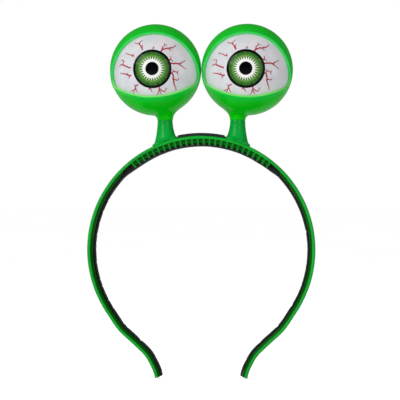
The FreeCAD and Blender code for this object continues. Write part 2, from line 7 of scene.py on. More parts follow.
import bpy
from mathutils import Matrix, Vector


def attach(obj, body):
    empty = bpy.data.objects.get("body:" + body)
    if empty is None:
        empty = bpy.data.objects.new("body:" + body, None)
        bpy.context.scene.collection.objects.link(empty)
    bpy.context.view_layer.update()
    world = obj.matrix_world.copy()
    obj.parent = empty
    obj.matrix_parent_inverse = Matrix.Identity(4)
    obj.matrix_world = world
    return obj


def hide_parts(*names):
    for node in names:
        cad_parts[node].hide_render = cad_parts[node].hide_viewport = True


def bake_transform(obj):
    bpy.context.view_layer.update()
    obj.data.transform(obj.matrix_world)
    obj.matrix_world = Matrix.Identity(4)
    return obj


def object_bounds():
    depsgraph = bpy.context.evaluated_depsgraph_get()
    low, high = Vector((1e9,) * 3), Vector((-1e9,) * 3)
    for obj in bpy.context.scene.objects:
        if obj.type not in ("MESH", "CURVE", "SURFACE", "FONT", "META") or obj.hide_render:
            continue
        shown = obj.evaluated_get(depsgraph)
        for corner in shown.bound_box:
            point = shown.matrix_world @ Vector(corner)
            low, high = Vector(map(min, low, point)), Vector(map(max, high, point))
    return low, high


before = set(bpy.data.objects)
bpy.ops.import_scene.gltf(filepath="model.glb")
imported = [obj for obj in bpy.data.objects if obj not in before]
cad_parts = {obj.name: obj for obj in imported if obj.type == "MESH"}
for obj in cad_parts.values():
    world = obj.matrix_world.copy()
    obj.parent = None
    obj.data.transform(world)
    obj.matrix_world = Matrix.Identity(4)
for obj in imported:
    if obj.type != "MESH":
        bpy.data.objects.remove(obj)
CAD_BOX = [[float(c) for c in v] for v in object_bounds()]

import math
from collections import namedtuple

import bmesh
import bpy
import numpy as np
from mathutils import Matrix, Vector, noise

MM = 0.001                  # metres in a millimetre
scene = bpy.context.scene
SIDES = (("left", -1), ("right", 1))

# ------------------------------------------------------------ driving sizes
BAND_R = 66.3               # outer radius of the headband's arc
BAND_T = 1.9                # band thickness
MID_R = BAND_R - BAND_T / 2
HALF_DEPTH = 7.0            # half the band's depth along Y
TIP_HALF_DEPTH = 5.0
TAPER_TOP = 10.0            # height where the arms begin to taper
TAPER_LENGTH = 88.0
ARC_END = 124.0             # degrees from the top, where the arc meets the tip path
SPLIT = 44.0                # degrees from the top, where crown and arms meet
BULGE = 0.14                # how far the band's outer face is crowned
EDGE_R = 0.78               # largest radius of the band's edges
EDGE_SHARE = 0.82           # and its limit as a share of half the thickness
RIB_T = 1.25                # rise of the rib inside each arm
TIP_ROUND = 0.35            # rounding of the arm's tip

# centreline of the band beyond the arc: (x, z)
TIP_PATH = [(46.9, -46.9), (40.9, -52.5), (35.65, -57.4), (32.0, -61.2),
            (28.75, -66.7), (26.8, -71.1), (25.9, -74.5)]

POST_X, PIVOT_Z, POST_R = 21.2, 74.5, 4.43
BALL_X, BALL_Z, BALL_R = 26.74, 105.0, 26.68
SHELL_IN = 24.9             # inner radius of the rear shell
SEAM_ANGLE = math.radians(90) - 0.002 / BALL_R
EYE_R, EYE_IN = 24.8, 23.2
IRIS_R = 11.05
BUTTON_RISE = 16.5          # height of the button above the ball's centre, on its surface
BUTTON_AXIS = Vector((0, math.sqrt(BALL_R ** 2 - BUTTON_RISE ** 2) / BALL_R, BUTTON_RISE / BALL_R))


# =================================================================== mesh helpers
def new_mesh(name, verts, faces, merge=True):
    """A smooth-shaded object from points in mm, its normals facing out."""
    mesh = bpy.data.meshes.new(name)
    mesh.from_pydata([(v[0] * MM, v[1] * MM, v[2] * MM) for v in verts], [], faces)
    bm = bmesh.new()
    bm.from_mesh(mesh)
    if merge:
        bmesh.ops.remove_doubles(bm, verts=bm.verts, dist=1e-7)
        bmesh.ops.dissolve_degenerate(bm, edges=bm.edges, dist=1e-8)
    bmesh.ops.recalc_face_normals(bm, faces=bm.faces)
    bm.to_mesh(mesh)
    bm.free()
    return add_object(name, mesh)


def shade_smooth(mesh):
    mesh.polygons.foreach_set("use_smooth", [True] * len(mesh.polygons))


def add_object(name, mesh):
    shade_smooth(mesh)
    mesh.update()
    ob = bpy.data.objects.new(name, mesh)
    scene.collection.objects.link(ob)
    return ob


def join(name, obs):
    """One object from several, in the same place."""
    bm = bmesh.new()
    for ob in obs:
        part = ob.data.copy()
        part.transform(ob.matrix_world)
        bm.from_mesh(part)
        bpy.data.meshes.remove(part)
    mesh = bpy.data.meshes.new(name)
    bm.to_mesh(mesh)
    bm.free()
    for ob in obs:
        bpy.data.objects.remove(ob)
    return add_object(name, mesh)


def centre_on(ob, point):
    """Puts the object's origin at a point, so that its object coordinates start there."""
    point = Vector(point) * MM
    ob.data.transform(Matrix.Translation(-point))
    ob.matrix_world = Matrix.Translation(point)
    bpy.context.view_layer.update()


def mirror_x(ob):
    ob.data.transform(Matrix.Scale(-1, 4, (1, 0, 0)))
    ob.data.flip_normals()


def sharp(ob, degrees):
    """Marks edges sharper than this, so that smooth shading keeps them crisp."""
    bm = bmesh.new()
    bm.from_mesh(ob.data)
    for e in bm.edges:
        if len(e.link_faces) == 2 and e.calc_face_angle(0) > math.radians(degrees):
            e.smooth = False
    bm.to_mesh(ob.data)
    bm.free()


def boolean(ob, cutter, operation="DIFFERENCE"):
    """Applies a boolean and removes the cutter."""
    modifier = ob.modifiers.new("cut", "BOOLEAN")
    modifier.operation = operation
    modifier.solver = "EXACT"
    modifier.object = cutter
    bpy.context.view_layer.update()
    graph = bpy.context.evaluated_depsgraph_get()
    mesh = bpy.data.meshes.new_from_object(ob.evaluated_get(graph))
    ob.modifiers.remove(modifier)
    old = ob.data
    ob.data = mesh
    bpy.data.meshes.remove(old)
    bpy.data.objects.remove(cutter)
    shade_smooth(mesh)


def attribute(ob, name, values):
    a = ob.data.attributes.new(name, "FLOAT", "POINT")
    a.data.foreach_set("value", np.asarray(values, np.float32))


def coordinates(mesh):
    """Vertex positions as an (n, 3) array, in metres."""
    co = np.zeros(len(mesh.vertices) * 3)
    mesh.vertices.foreach_get("co", co)
    return co.reshape(-1, 3)


def declare(ob, body, replaces=None):
    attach(ob, body)
    if replaces:
        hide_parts(replaces)


def declare_arm(ob, replaces):
    """Bakes a strip's placement into its mesh and hides the CAD part it replaces."""
    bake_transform(ob)
    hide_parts(replaces)


# =================================================================== curves and skins
def turn(count):
    """Evenly spaced angles round a circle."""
    return [2 * math.pi * j / count for j in range(count)]


def polar(radius, angle):
    """(distance from the axis, height) of a point at an angle from the axis."""
    return radius * math.sin(angle), radius * math.cos(angle)


def signed_power(value, power):
    """Squares off a sine or cosine, for superellipses."""
    return math.copysign(abs(value) ** power, value)


def smooth(x, low, high):
    t = min(1.0, max(0.0, (x - low) / (high - low)))
    return t * t * (3 - 2 * t)


def smooth_min(a, b, k):
    h = max(0.0, min(1.0, 0.5 + 0.5 * (b - a) / k))
    return b * (1 - h) + a * h - k * h * (1 - h)


def round_end(left, radius):
    """Quarter-circle fall from 1 to 0 over the last radius of a run, with left still to go."""
    if left >= radius:
        return 1.0
    return math.sqrt(max(0.0, 1 - (1 - left / radius) ** 2))


def hermite(t):
    """Weights of the start, start tangent, end and end tangent."""
    return (2 * t ** 3 - 3 * t ** 2 + 1, t ** 3 - 2 * t ** 2 + t,
            3 * t ** 2 - 2 * t ** 3, t ** 3 - t ** 2)


def spline_path(points, start_tangent, end_tangent, count):
    """Cubic through the points, sampled count + 1 times as (point, unit tangent)."""
    p = np.array(points, float)
    h = np.linalg.norm(np.diff(p, axis=0), axis=1)
    m = len(p)
    system = np.zeros((m, m))
    right = np.zeros((m, 2))
    system[0, 0] = system[-1, -1] = 1
    right[0] = start_tangent
    right[-1] = end_tangent
    for i in range(1, m - 1):
        system[i, i - 1:i + 2] = h[i], 2 * (h[i - 1] + h[i]), h[i - 1]
        right[i] = 3 * (h[i - 1] * (p[i + 1] - p[i]) / h[i] + h[i] * (p[i] - p[i - 1]) / h[i - 1])
    slopes = np.linalg.solve(system, right)
    starts = np.r_[0, np.cumsum(h)]
    out = []
    for x in np.linspace(0, starts[-1], count + 1):
        i = min(np.searchsorted(starts, x, side="right") - 1, m - 2)
        t = (x - starts[i]) / h[i]
        a, b, ta, tb = p[i], p[i + 1], slopes[i] * h[i], slopes[i + 1] * h[i]
        wa, wta, wb, wtb = hermite(t)
        point = wa * a + wta * ta + wb * b + wtb * tb
        slope = ((6 * t ** 2 - 6 * t) * (a - b) + (3 * t ** 2 - 4 * t + 1) * ta
                 + (3 * t ** 2 - 2 * t) * tb)
        out.append((point, slope / np.linalg.norm(slope)))
    return out


def catmull(points, steps):
    """Catmull-Rom curve through the points, with this many steps to a span."""
    p = [np.array(x, float) for x in points]
    p = [2 * p[0] - p[1]] + p + [2 * p[-1] - p[-2]]
    out = []
    for a, b, c, d in zip(p, p[1:], p[2:], p[3:]):
        for j in range(steps):
            t = j / steps
            out.append(0.5 * (2 * b + (c - a) * t + (2 * a - 5 * b + 4 * c - d) * t * t
                              + (3 * b - a - 3 * c + d) * t ** 3))
    out.append(p[-2])
    return out


def arc(cx, cy, radius, degrees):
    return [(cx + radius * math.cos(math.radians(d)), cy + radius * math.sin(math.radians(d)))
            for d in degrees]


def rounded_rect(half_w, half_d, radius, corner_steps, mid_w, mid_d):
    """Closed outline of a box; mid_w and mid_d are the steps along its straight sides."""
    w, d = half_w - radius, half_d - radius
    arcs = []
    for cx, cy, start in ((w, d, 0), (-w, d, 90), (-w, -d, 180), (w, -d, 270)):
        degrees = [start + 90 * i / corner_steps for i in range(corner_steps + 1)]
        arcs.append(arc(cx, cy, radius, degrees))
    points = []
    for side, corner in enumerate(arcs):
        points += corner
        (x0, y0), (x1, y1) = corner[-1], arcs[(side + 1) % 4][0]
        steps = mid_d if side % 2 else mid_w
        for i in range(1, steps):
            points.append((x0 + (x1 - x0) * i / steps, y0 + (y1 - y0) * i / steps))
    return points


def grid_faces(rows, cols):
    """Quads between consecutive closed rings of cols points."""
    faces = []
    for i in range(rows - 1):
        for j in range(cols):
            a, b = i * cols + j, i * cols + (j + 1) % cols
            faces.append((a, b, b + cols, a + cols))
    return faces


def loft(name, rings, capped=True):
    """A skin through closed rings of equal count, with fan caps at both ends."""
    n = len(rings[0])
    verts = [tuple(p) for ring in rings for p in ring]
    faces = grid_faces(len(rings), n)
    if capped:
        for ring, first in ((rings[0], 0), (rings[-1], (len(rings) - 1) * n)):
            centre = len(verts)
            verts.append(tuple(np.mean(np.array([tuple(p) for p in ring]), axis=0)))
            for j in range(n):
                faces.append((first + j, first + (j + 1) % n, centre))
    return new_mesh(name, verts, faces)


def lathe(name, profile, origin, axis, seg, closed=True):
    """Turns (radius, height) pairs about an axis. A closed profile joins its last pair to the first."""
    axis = Vector(axis).normalized()
    u = Vector((1, 0, 0)) if abs(axis.y) > 0.99 else axis.orthogonal().normalized()
    w = axis.cross(u)
    origin = Vector(origin)
    verts, faces, rings = [], [], []
    for radius, height in profile:
        first = len(verts)
        middle = origin + axis * height
        if radius < 1e-6:
            verts.append(tuple(middle))
            rings.append([first] * seg)
        else:
            verts += [tuple(middle + (u * math.cos(a) + w * math.sin(a)) * radius)
                      for a in turn(seg)]
            rings.append([first + j for j in range(seg)])
    if closed:
        rings.append(rings[0])
    for a, b in zip(rings, rings[1:]):
        if a[0] == a[1] and b[0] == b[1]:
            continue
        faces += quads_between(a, b)
    return new_mesh(name, verts, faces)


def quads_between(a, b):
    """Faces between two index rings; a ring that is a single point gives triangles."""
    faces = []
    for j in range(len(a)):
        k = (j + 1) % len(a)
        faces.append(tuple(dict.fromkeys((a[j], a[k], b[k], b[j]))))
    return faces


# =================================================================== stations along the band
# centre, outward normal, half depth, run length so far, degrees from the top
Station = namedtuple("Station", "x z out_x out_z half_depth run angle")


def crown_stations(half_angle, steps):
    out = []
    for i in range(steps + 1):
        degrees = -half_angle + 2 * half_angle * i / steps
        a = math.radians(degrees)
        out.append(Station(*polar(MID_R, a), *polar(1, a), HALF_DEPTH, 0.0, degrees))
    return out


def arm_stations(start, sign):
    """From a start angle round the arc and on to the tip. Past the arc the angle is nominal."""
    points = []             # x, z, outward x, outward z, angle
    steps = round((ARC_END - start) / 0.8)
    for i in range(steps + 1):
        degrees = start + (ARC_END - start) * i / steps
        a = math.radians(degrees)
        points.append((*polar(MID_R, a), *polar(1, a), degrees))
    a = math.radians(ARC_END)
    last = np.array(TIP_PATH[-1]) - np.array(TIP_PATH[-2])
    path = spline_path([polar(MID_R, a)] + TIP_PATH, (math.cos(a), -math.sin(a)),
                       last / np.linalg.norm(last), 46)
    for k, (p, tangent) in enumerate(path[1:], 1):
        points.append((p[0], p[1], -tangent[1], tangent[0], ARC_END + 0.6 * k))
    run, out = 0.0, []
    previous = points[0]
    for point in points:
        x, z, out_x, out_z, degrees = point
        run += math.hypot(x - previous[0], z - previous[1])
        previous = point
        taper = max(0.0, (TAPER_TOP - z) / TAPER_LENGTH)
        half_depth = HALF_DEPTH + (TIP_HALF_DEPTH - HALF_DEPTH) * taper
        out.append(Station(sign * x, z, sign * out_x, out_z, half_depth, run, degrees))
    return out


def stations_before(a, b, lefts):
    """Stations between a and b, at the given run lengths short of b."""
    total = b.run - a.run
    return [Station(*(p + (q - p) * (1 - left / total) for p, q in zip(a, b))) for left in lefts]


def sweep(name, stations, outline):
    """outline(station) gives (outward offset from the centreline, y) pairs."""
    return loft(name, [[(s.x + s.out_x * n, y, s.z + s.out_z * n) for n, y in outline(s)]
                       for s in stations])


# =================================================================== green band
def band_outline(station):
    half_t, half_d = BAND_T / 2, station.half_depth
    points = rounded_rect(half_t, half_d, min(EDGE_R, half_t * EDGE_SHARE),
                          corner_steps=8, mid_w=2, mid_d=8)
    return [(n + BULGE * (1 - (y / half_d) ** 2) if n > 0 else n, y) for n, y in points]


def arm_outline(station, left):
    """The band's rounded edges, with the rib swelling from the inner face."""
    shrink = TIP_ROUND * (1 - round_end(left, TIP_ROUND))
    half_t, half_d = BAND_T / 2 - shrink + 0.02, station.half_depth - shrink
    r = min(EDGE_R, half_t * EDGE_SHARE)
    w, d = half_t - r, half_d - r
    rise = (RIB_T - shrink * 0.6) * smooth(station.angle, 44.3, 48.0)
    # outer face and its corners, from +y to -y
    points = arc(w, d, r, [90 - 90 * i / 8 for i in range(9)])
    for i in range(1, 12):
        y = d * (1 - 2 * i / 12)
        points.append((half_t + BULGE * (1 - (y / half_d) ** 2), y))
    points += arc(w, -d, r, [-90 * i / 8 for i in range(9)])
    # inner corner, back across the rib, and the last corner
    points += arc(-w, -d, r, [-90 - 90 * i / 5 for i in range(1, 6)])
    for i in range(1, 30):
        y = -d * math.cos(math.pi * i / 30)
        points.append((-half_t - rise * smooth(half_d - abs(y), 0.75, 1.75), y))
    return points + arc(-w, d, r, [180 - 90 * i / 5 for i in range(5)])


def mark_inner_shade(ob, stations, comb=False):
    """Attributes the painted inner shade, 0 outside to 1 on the head side, and rubbed, 0 at the crown's
    joints.
    """
    co = coordinates(ob.data) / MM
    line = np.array([s[:4] for s in stations])
    gap = (co[:, None, 0] - line[None, :, 0]) ** 2 + (co[:, None, 2] - line[None, :, 1]) ** 2
    near = line[gap.argmin(1)]
    offset = (co[:, 0] - near[:, 0]) * near[:, 2] + (co[:, 2] - near[:, 1]) * near[:, 3]
    inner_shade = np.clip((-offset - BAND_T / 2 + 0.15) / 0.15, 0, 1)
    if comb:                # the teeth and their web grow paler towards the front
        # painted shade on the comb: the teeth and their web take less of it towards the front
        y = co[:, 1]
        tooth = (y < -3.65) & (offset < -BAND_T / 2 - 0.1)
        shade = np.where(y < -6.0, 0.5, np.where(y < -4.5, 0.74, inner_shade))
        inner_shade = np.where(tooth, shade, inner_shade)
    attribute(ob, "inner_shade", inner_shade * inner_shade * (3 - 2 * inner_shade))
    degrees = np.degrees(np.arctan2(np.abs(co[:, 0]), co[:, 2]))
    attribute(ob, "rubbed", np.clip((np.abs(degrees - SPLIT) - 0.9) / 0.8, 0, 1))


TOOTH_PITCH = 3.07          # degrees
TOOTH_Y, TOOTH_HALF_D, TOOTH_HALF_W = -5.25, 1.55, 0.85
# radius from the band's centre, scale of the tooth's section
TOOTH_LEVELS = [(64.9, 1.22), (64.45, 1.16), (64.2, 1.06), (63.9, 1.0), (63.2, 0.98), (62.6, 0.965),
                (62.0, 0.94), (61.7, 0.90), (61.45, 0.82), (61.25, 0.70), (61.1, 0.53), (61.0, 0.28)]


def tooth_mesh(angle):
    """A rounded column, wider at its root."""
    radial = Vector((math.sin(angle), 0, math.cos(angle)))
    tangent = Vector((math.cos(angle), 0, -math.sin(angle)))
    rings = []
    for radius, scale in TOOTH_LEVELS:
        depth = TOOTH_HALF_D * (0.35 + 0.65 * scale if scale < 1 else min(scale, 1.04))
        ring = []
        for a in turn(28):
            x = TOOTH_HALF_W * scale * signed_power(math.cos(a), 0.62)
            y = depth * signed_power(math.sin(a), 0.62)
            ring.append(radial * radius + tangent * x + Vector((0, TOOTH_Y + y, 0)))
        rings.append(ring)
    return loft("tooth", rings)


def crown_band():
    stations = crown_stations(SPLIT, 110)
    parts = [sweep("band_mid", stations, band_outline)]
    for i in range(13):
        for sign in (-1, 1):
            parts.append(tooth_mesh(math.radians(sign * TOOTH_PITCH * (i + 0.5))))
    web = rounded_rect(1.14, 0.42, 0.2, corner_steps=3, mid_w=4, mid_d=2)
    parts.append(sweep("comb_web", [s for s in stations if abs(s.angle) < 39.4],
                       lambda s: [(n - BAND_T / 2 - 0.98, y - 5.1) for n, y in web]))
    ob = join("band_crown_with_comb", parts)
    sharp(ob, 62)
    mark_inner_shade(ob, stations, comb=True)
    declare(ob, "band", "headband_crown")
    return ob


def band_arm(side, sign):
    stations = arm_stations(SPLIT, sign)
    # close stations in the last stretch, for the rounded tip
    stations[-1:] = stations_before(stations[-2], stations[-1],
                                    (0.6, 0.35, 0.28, 0.2, 0.12, 0.06, 0.02, 0.0))
    end = stations[-1].run
    ob = sweep("band_arm_" + side, stations, lambda s: arm_outline(s, end - s.run))
    sharp(ob, 62)
    mark_inner_shade(ob, stations)
    declare_arm(ob, "headband_arm_" + side)
    return ob


crown = crown_band()
arms = [band_arm(side, sign) for side, sign in SIDES]

# =================================================================== crown pad and arm liners
# The charcoal strips are the band's lining and also painted shade: they darken the band's inside, which
# lies in shade.
PAD_RING = 30               # points round the strip's outline
PAD_FRONT = -3.4            # y of the pad's front edge
PAD_HALF_ANGLE = 46.6
LINER_START = 46.0
PAD_PUFF = 0.16             # share of the thickness lost at the edges


def pad_outline(thick, front, rear, puff, base):
    """A soft strip: flat against the band, crowned on the head side, its edges turned in."""
    middle, half = (front + rear) / 2, (rear - front) / 2
    points = []
    for a in turn(PAD_RING):
        y = half * signed_power(math.cos(a), 0.42)
        side = signed_power(math.sin(a), 0.42)          # -1 head side, +1 band side
        n = -BAND_T / 2 - 0.05 - base - thick * 0.5
        if side > 0:
            n += thick * 0.5 * side
        else:
            n += thick * 0.5 * side * (1.0 - puff * (y / half) ** 2)
        points.append((n, middle + y))
    return points


def rib_rise(angle):
    return RIB_T * smooth(abs(angle), 45.6, 49.6)


def foam_thickness(angle):
    """Foam and cloth together, thinning toward the arms."""
    return 3.84 - 1.30 * smooth(abs(angle), 31.0, 53.0)


def pad_rear(angle):
    """Rear edge of the strip: it draws in to lie on the arm's rib."""
    angle = abs(angle)
    return 6.6 - 1.35 * smooth(angle, 36.0, 43.4) - 1.55 * smooth(angle, 49.0, 63.0)


def soft_noise(ob, amount, seed, scale=0.16):
    """Slow lumps along the normals of the head side."""
    mesh = ob.data
    mesh.update()
    for v in mesh.vertices:
        x, y, z = v.co / MM
        if math.hypot(x, z) < 64.0:
            slow = noise.noise(Vector((x * scale + seed, y * scale * 1.6, z * scale)))
            fine = noise.noise(Vector((x * scale * 2.7 + seed, y * scale * 3.1,
                                       z * scale * 2.7 + 7)))
            v.co += v.normal * (slow * amount + fine * amount * 0.4) * MM
    mesh.update()


def cloth_swell(ob, frames=16, limit=0.26, growth=0.035, pressure=5.0):
    """Swells the skin as cloth over foam; the glued side and both ends stay put."""
    enlarge = 1000.0 / 22.0              # the solver behaves better at a larger size
    start = coordinates(ob.data)
    n = len(start)
    work = ob.data.copy()
    work.vertices.foreach_set("co", (start * enlarge).ravel())
    work.update()
    puppet = bpy.data.objects.new("cloth_work", work)
    scene.collection.objects.link(puppet)
    rows = n // PAD_RING                 # the two cap centres come after the last row
    glued = puppet.vertex_groups.new(name="glued")
    free = np.ones(n)
    for i in range(n):
        row = i // PAD_RING
        from_end = min(row, rows - 1 - row)
        band_side = math.sin(2 * math.pi * (i % PAD_RING) / PAD_RING) > -0.05
        hold = band_side or from_end < 2
        glued.add([i], 1.0 if hold else 0.0, "REPLACE")
        if hold:
            free[i] = 0.0
        elif from_end < 8:
            free[i] = (from_end - 1) / 7.0
    cloth = puppet.modifiers.new("skin", "CLOTH")
    settings = cloth.settings
    settings.quality = 5
    settings.mass = 0.25
    settings.tension_stiffness = settings.compression_stiffness = 12.0
    settings.shear_stiffness = 4.0
    settings.bending_stiffness = 0.25
    settings.use_pressure = True
    settings.uniform_pressure_force = pressure
    settings.shrink_min = -growth
    settings.vertex_group_mass = "glued"
    settings.effector_weights.gravity = 0.0
    cloth.collision_settings.use_collision = False
    cloth.point_cache.frame_start = 1
    cloth.point_cache.frame_end = frames
    for f in range(1, frames + 1):
        scene.frame_set(f)
    settled = puppet.evaluated_get(bpy.context.evaluated_depsgraph_get())
    move = (coordinates(settled.data) / enlarge - start) / MM
    size = np.maximum(np.linalg.norm(move, axis=1), 1e-9)
    move = move / size[:, None] * (limit * np.tanh(size / limit))[:, None] * free[:, None]
    ob.data.vertices.foreach_set("co", (start + move * MM).ravel())
    ob.data.update()
    scene.frame_set(1)
    bpy.data.objects.remove(puppet)
    bpy.data.meshes.remove(work)


def mark_weave(ob):
    """Coordinates in mm along, across and away from the arc's centre, for the weave."""
    co = coordinates(ob.data) / MM
    attribute(ob, "run", np.arctan2(co[:, 0], co[:, 2]) * 64.0)
    attribute(ob, "across", co[:, 1])
    attribute(ob, "height", np.hypot(co[:, 0], co[:, 2]))


def crown_pad():
    def outline(s):
        base = rib_rise(s.angle)
        return pad_outline(foam_thickness(s.angle) - base, PAD_FRONT, pad_rear(s.angle),
                           PAD_PUFF, base)

    ob = sweep("crown_pad_cloth", crown_stations(PAD_HALF_ANGLE, 180), outline)
    soft_noise(ob, amount=0.10, seed=3.1)
    cloth_swell(ob)
    mark_weave(ob)
    declare(ob, "band", "crown_pad")
    return ob


def arm_liner(side, sign):
    stations = arm_stations(LINER_START, sign)
    stations[-2:] = stations_before(stations[-2], stations[-1],
                                    (0.78, 0.6, 0.45, 0.34, 0.26, 0.2, 0.16))
    end = stations[-1].run

    def outline(s):
        base = rib_rise(s.angle)
        narrow = smooth(s.angle, 49.0, 63.0)
        thick = foam_thickness(s.angle) - base - 0.05 * narrow - 0.14 * smooth(s.angle, 66, 90)
        thick *= 0.7 + 0.3 * round_end(end - s.run, 0.3)
        rear = pad_rear(s.angle)
        if s.angle > 62:
            rear = min(rear, s.half_depth - 1.0)
        tuck = 0.08 * (1 - smooth(s.angle, 46.7, 47.3))     # the first stretch lies inside the pad
        return pad_outline(thick - tuck, PAD_FRONT + 1.8 * narrow + tuck, rear - tuck,
                           PAD_PUFF + 0.1 * narrow, base)

    ob = sweep("arm_liner_cloth_" + side, stations, outline)
    soft_noise(ob, amount=0.06, seed=5.7 + sign)
    cloth_swell(ob)
    mark_weave(ob)
    declare_arm(ob, "arm_liner_" + side)
    return ob


pad = crown_pad()
liners = [arm_liner(side, sign) for side, sign in SIDES]

# =================================================================== wire cover on the crown
COVER_TOP, COVER_HALF_D, COVER_HALF_ANGLE = 68.12, 4.6, 11.75
COVER_BASE = BAND_R - 0.12
COVER_STEPS = 72


def wire_cover():
    rings = []
    for i in range(COVER_STEPS + 1):
        t = -1 + 2 * i / COVER_STEPS
        a = math.radians(COVER_HALF_ANGLE * t)
        left = (1 - abs(t)) * COVER_HALF_ANGLE * BAND_R * math.pi / 180.0
        inset = 0.5 * (1 - round_end(left, 0.6))
        half_rise = (COVER_TOP - inset - COVER_BASE) * 0.5
        ring = []
        for q in turn(40):
            y = (COVER_HALF_D - inset) * signed_power(math.cos(q), 0.32)
            radius = COVER_BASE + half_rise * (1 + signed_power(math.sin(q), 0.38))
            ring.append((radius * math.sin(a), y, radius * math.cos(a)))
        rings.append(ring)
    ob = loft("wire_cover_shell", rings)
    declare(ob, "band", "wire_cover")
    return ob


cover = wire_cover()

# =================================================================== stem posts
POST_SEG = 96
POST_TOP_Z = 74.4           # where the dome gives way to the flared post
FOOT_R = 67.0               # radius at which the foot plate's width is measured
# foot plate: inset of the outline, height above the band
FOOT_LEVELS = [(0.02, -0.15), (0.0, 0.0), (0.0, 0.55), (0.04, 0.8), (0.14, 0.98), (0.3, 1.1),
               (0.52, 1.18), (0.9, 1.22), (2.0, 1.24), (3.6, 1.26), (5.2, 1.26)]


def post_ring(radius, z, seg):
    """A level ring about the right post's axis."""
    return [(POST_X + radius * math.cos(a), radius * math.sin(a), z) for a in turn(seg)]


def post_body():
    """The bored dome and the flared post, as one skin."""
    dome = []
    for degrees in (38, 44, 50, 56, 62, 68, 74, 80, 86, 90):
        r, h = polar(POST_R, math.radians(degrees))
        dome.append((r, PIVOT_Z + h))
    bore_r, bore_z = dome[0]
    levels = [(bore_r, 70.0), (bore_r, 72.0), (bore_r, bore_z - 0.2)] + dome
    rings = [post_ring(r, z, POST_SEG) for r, z in levels + [(POST_R, POST_TOP_Z)]]
    for i in range(1, 31):
        t = i / 30.0
        r = POST_R + 1.95 * t ** 1.7 + 0.85 * max(0.0, (t - 0.86) / 0.14) ** 2.2
        ring = []
        for a in turn(POST_SEG):
            # the foot follows the curved plate
            foot_x = POST_X + 6.9 * math.cos(a)
            foot_z = math.sqrt(67.5 ** 2 - foot_x ** 2) - 0.12
            z = POST_TOP_Z + (foot_z - POST_TOP_Z) * t
            ring.append((POST_X + r * math.cos(a), r * math.sin(a), z))
        rings.append(ring)
    # tuck the foot into the plate
    rings.append([(x, y, math.sqrt(66.6 ** 2 - x * x)) for x, y, _ in post_ring(6.6, 0, POST_SEG)])
    return loft("post_body", rings)


def post_foot():
    """The curved plate lying on the band."""
    middle = math.asin(POST_X / BAND_R)
    outline = rounded_rect(math.radians(6.5) * FOOT_R, 6.25, 3.2,
                           corner_steps=10, mid_w=6, mid_d=6)
    rings = []
    for inset, height in FOOT_LEVELS:
        radius = BAND_R + height
        ring = []
        for u, y in outline:
            length = math.hypot(u, y)
            k = max(0.05, (length - inset) / length)
            a = middle + u * k / FOOT_R
            ring.append((radius * math.sin(a), y * k, radius * math.cos(a)))
        rings.append(ring)
    return loft("post_foot", rings)


def stem_post(side, sign):
    parts = [post_body(), post_foot()]
    if sign < 0:
        for part in parts:
            mirror_x(part)
    ob = join("stem_post_" + side + "_moulding", parts)
    sharp(ob, 50)
    centre_on(ob, (sign * POST_X, 0, 66))
    declare(ob, "band", "stem_post_" + side)
    return ob


posts = [stem_post(side, sign) for side, sign in SIDES]

# =================================================================== eyelid shells
LID_SEG = 320
LID_IN = 24.93              # inner radius of the lid
LIP_W = 0.78                # reach of the rounded lip back from the lid's edge
LIP_HALF_T, LIP_MID_R = 0.76, 25.68
LIP_TOP = LIP_MID_R + LIP_HALF_T
# strength of the painted lip highlight and glow round the lip
LIP_GLOW = (1, 1, 1, 1, 1, 0.9, 0.7, 0.55, 0.5)     # values of the lip attribute round the lip


def ball_centre(sign):
    return (sign * BALL_X, 0.0, BALL_Z)


def lid_edge(psi):
    """Distance from the ball's axis to the lid's edge, in front view, at angle psi."""
    def exit_of(centre_z, radius):
        b = math.sin(psi) * centre_z
        return b + math.sqrt(b * b - (centre_z * centre_z - radius * radius))
    return smooth_min(exit_of(-5.1, 24.8), exit_of(27.1, 43.3), 0.7)


def lid_meridian(psi, sign):
    """(angle from the front pole, radius, lip value) from the inner seam round the lip and back."""
    start = math.asin(min(0.985, lid_edge(psi + sign * math.radians(2.4)) / 25.72))
    span = SEAM_ANGLE - start
    lower = 0.5 - 0.5 * math.sin(psi)                   # 1 at the bottom lid
    rise = 0.10 + 0.30 * lower
    points = []
    skip = LIP_W / 25.0
    for i in range(14, 0, -1):
        points.append((start + skip + (span - skip) * i / 14, LID_IN, 0.0))
    for i, glow in enumerate(LIP_GLOW):
        a = math.radians(-90 + 180 * i / 8)
        back = LIP_W - LIP_W * math.cos(a)
        h = LIP_MID_R + LIP_HALF_T * math.sin(a)
        radius = h + (BALL_R - LIP_TOP) * i / 8 + rise * max(0.0, (h - 25.0) / (LIP_TOP - 25.0))
        points.append((start + back / BALL_R, radius, glow))
    for i in range(1, 35):
        back = LIP_W + (span * BALL_R - LIP_W) * (i / 34) ** 1.5
        bead = rise * math.exp(-((back - LIP_W) / 1.5) ** 2)
        seam = -0.22 * math.exp(-((span * BALL_R - back) / 0.28) ** 2)
        # painted glow fading back from the lip
        glow = 0.5 * math.exp(-((back - LIP_W) / 3.4) ** 2)
        points.append((start + back / BALL_R, BALL_R + bead + seam, glow))
    return points


def lid_mesh(sign):
    """The front half shell with its eye opening, and its lip values, which place the painted highlight
    and glow.
    """
    cx, cy, cz = ball_centre(sign)
    angles = turn(LID_SEG)
    meridians = [lid_meridian(psi, sign) for psi in angles]
    rows = len(meridians[0])
    verts, lip_light = [], []
    for i in range(rows):
        for psi, meridian in zip(angles, meridians):
            alpha, radius, glow = meridian[i]
            s = math.sin(alpha) * radius
            verts.append((cx + s * math.cos(psi), cy - math.cos(alpha) * radius,
                          cz + s * math.sin(psi)))
            lip_light.append(glow)
    faces = grid_faces(rows, LID_SEG)
    last = (rows - 1) * LID_SEG
    for a in range(LID_SEG):                            # the flat seam face
        b = (a + 1) % LID_SEG
        faces.append((a, b, last + b, last + a))
    return new_mesh("lid", verts, faces, merge=False), lip_light


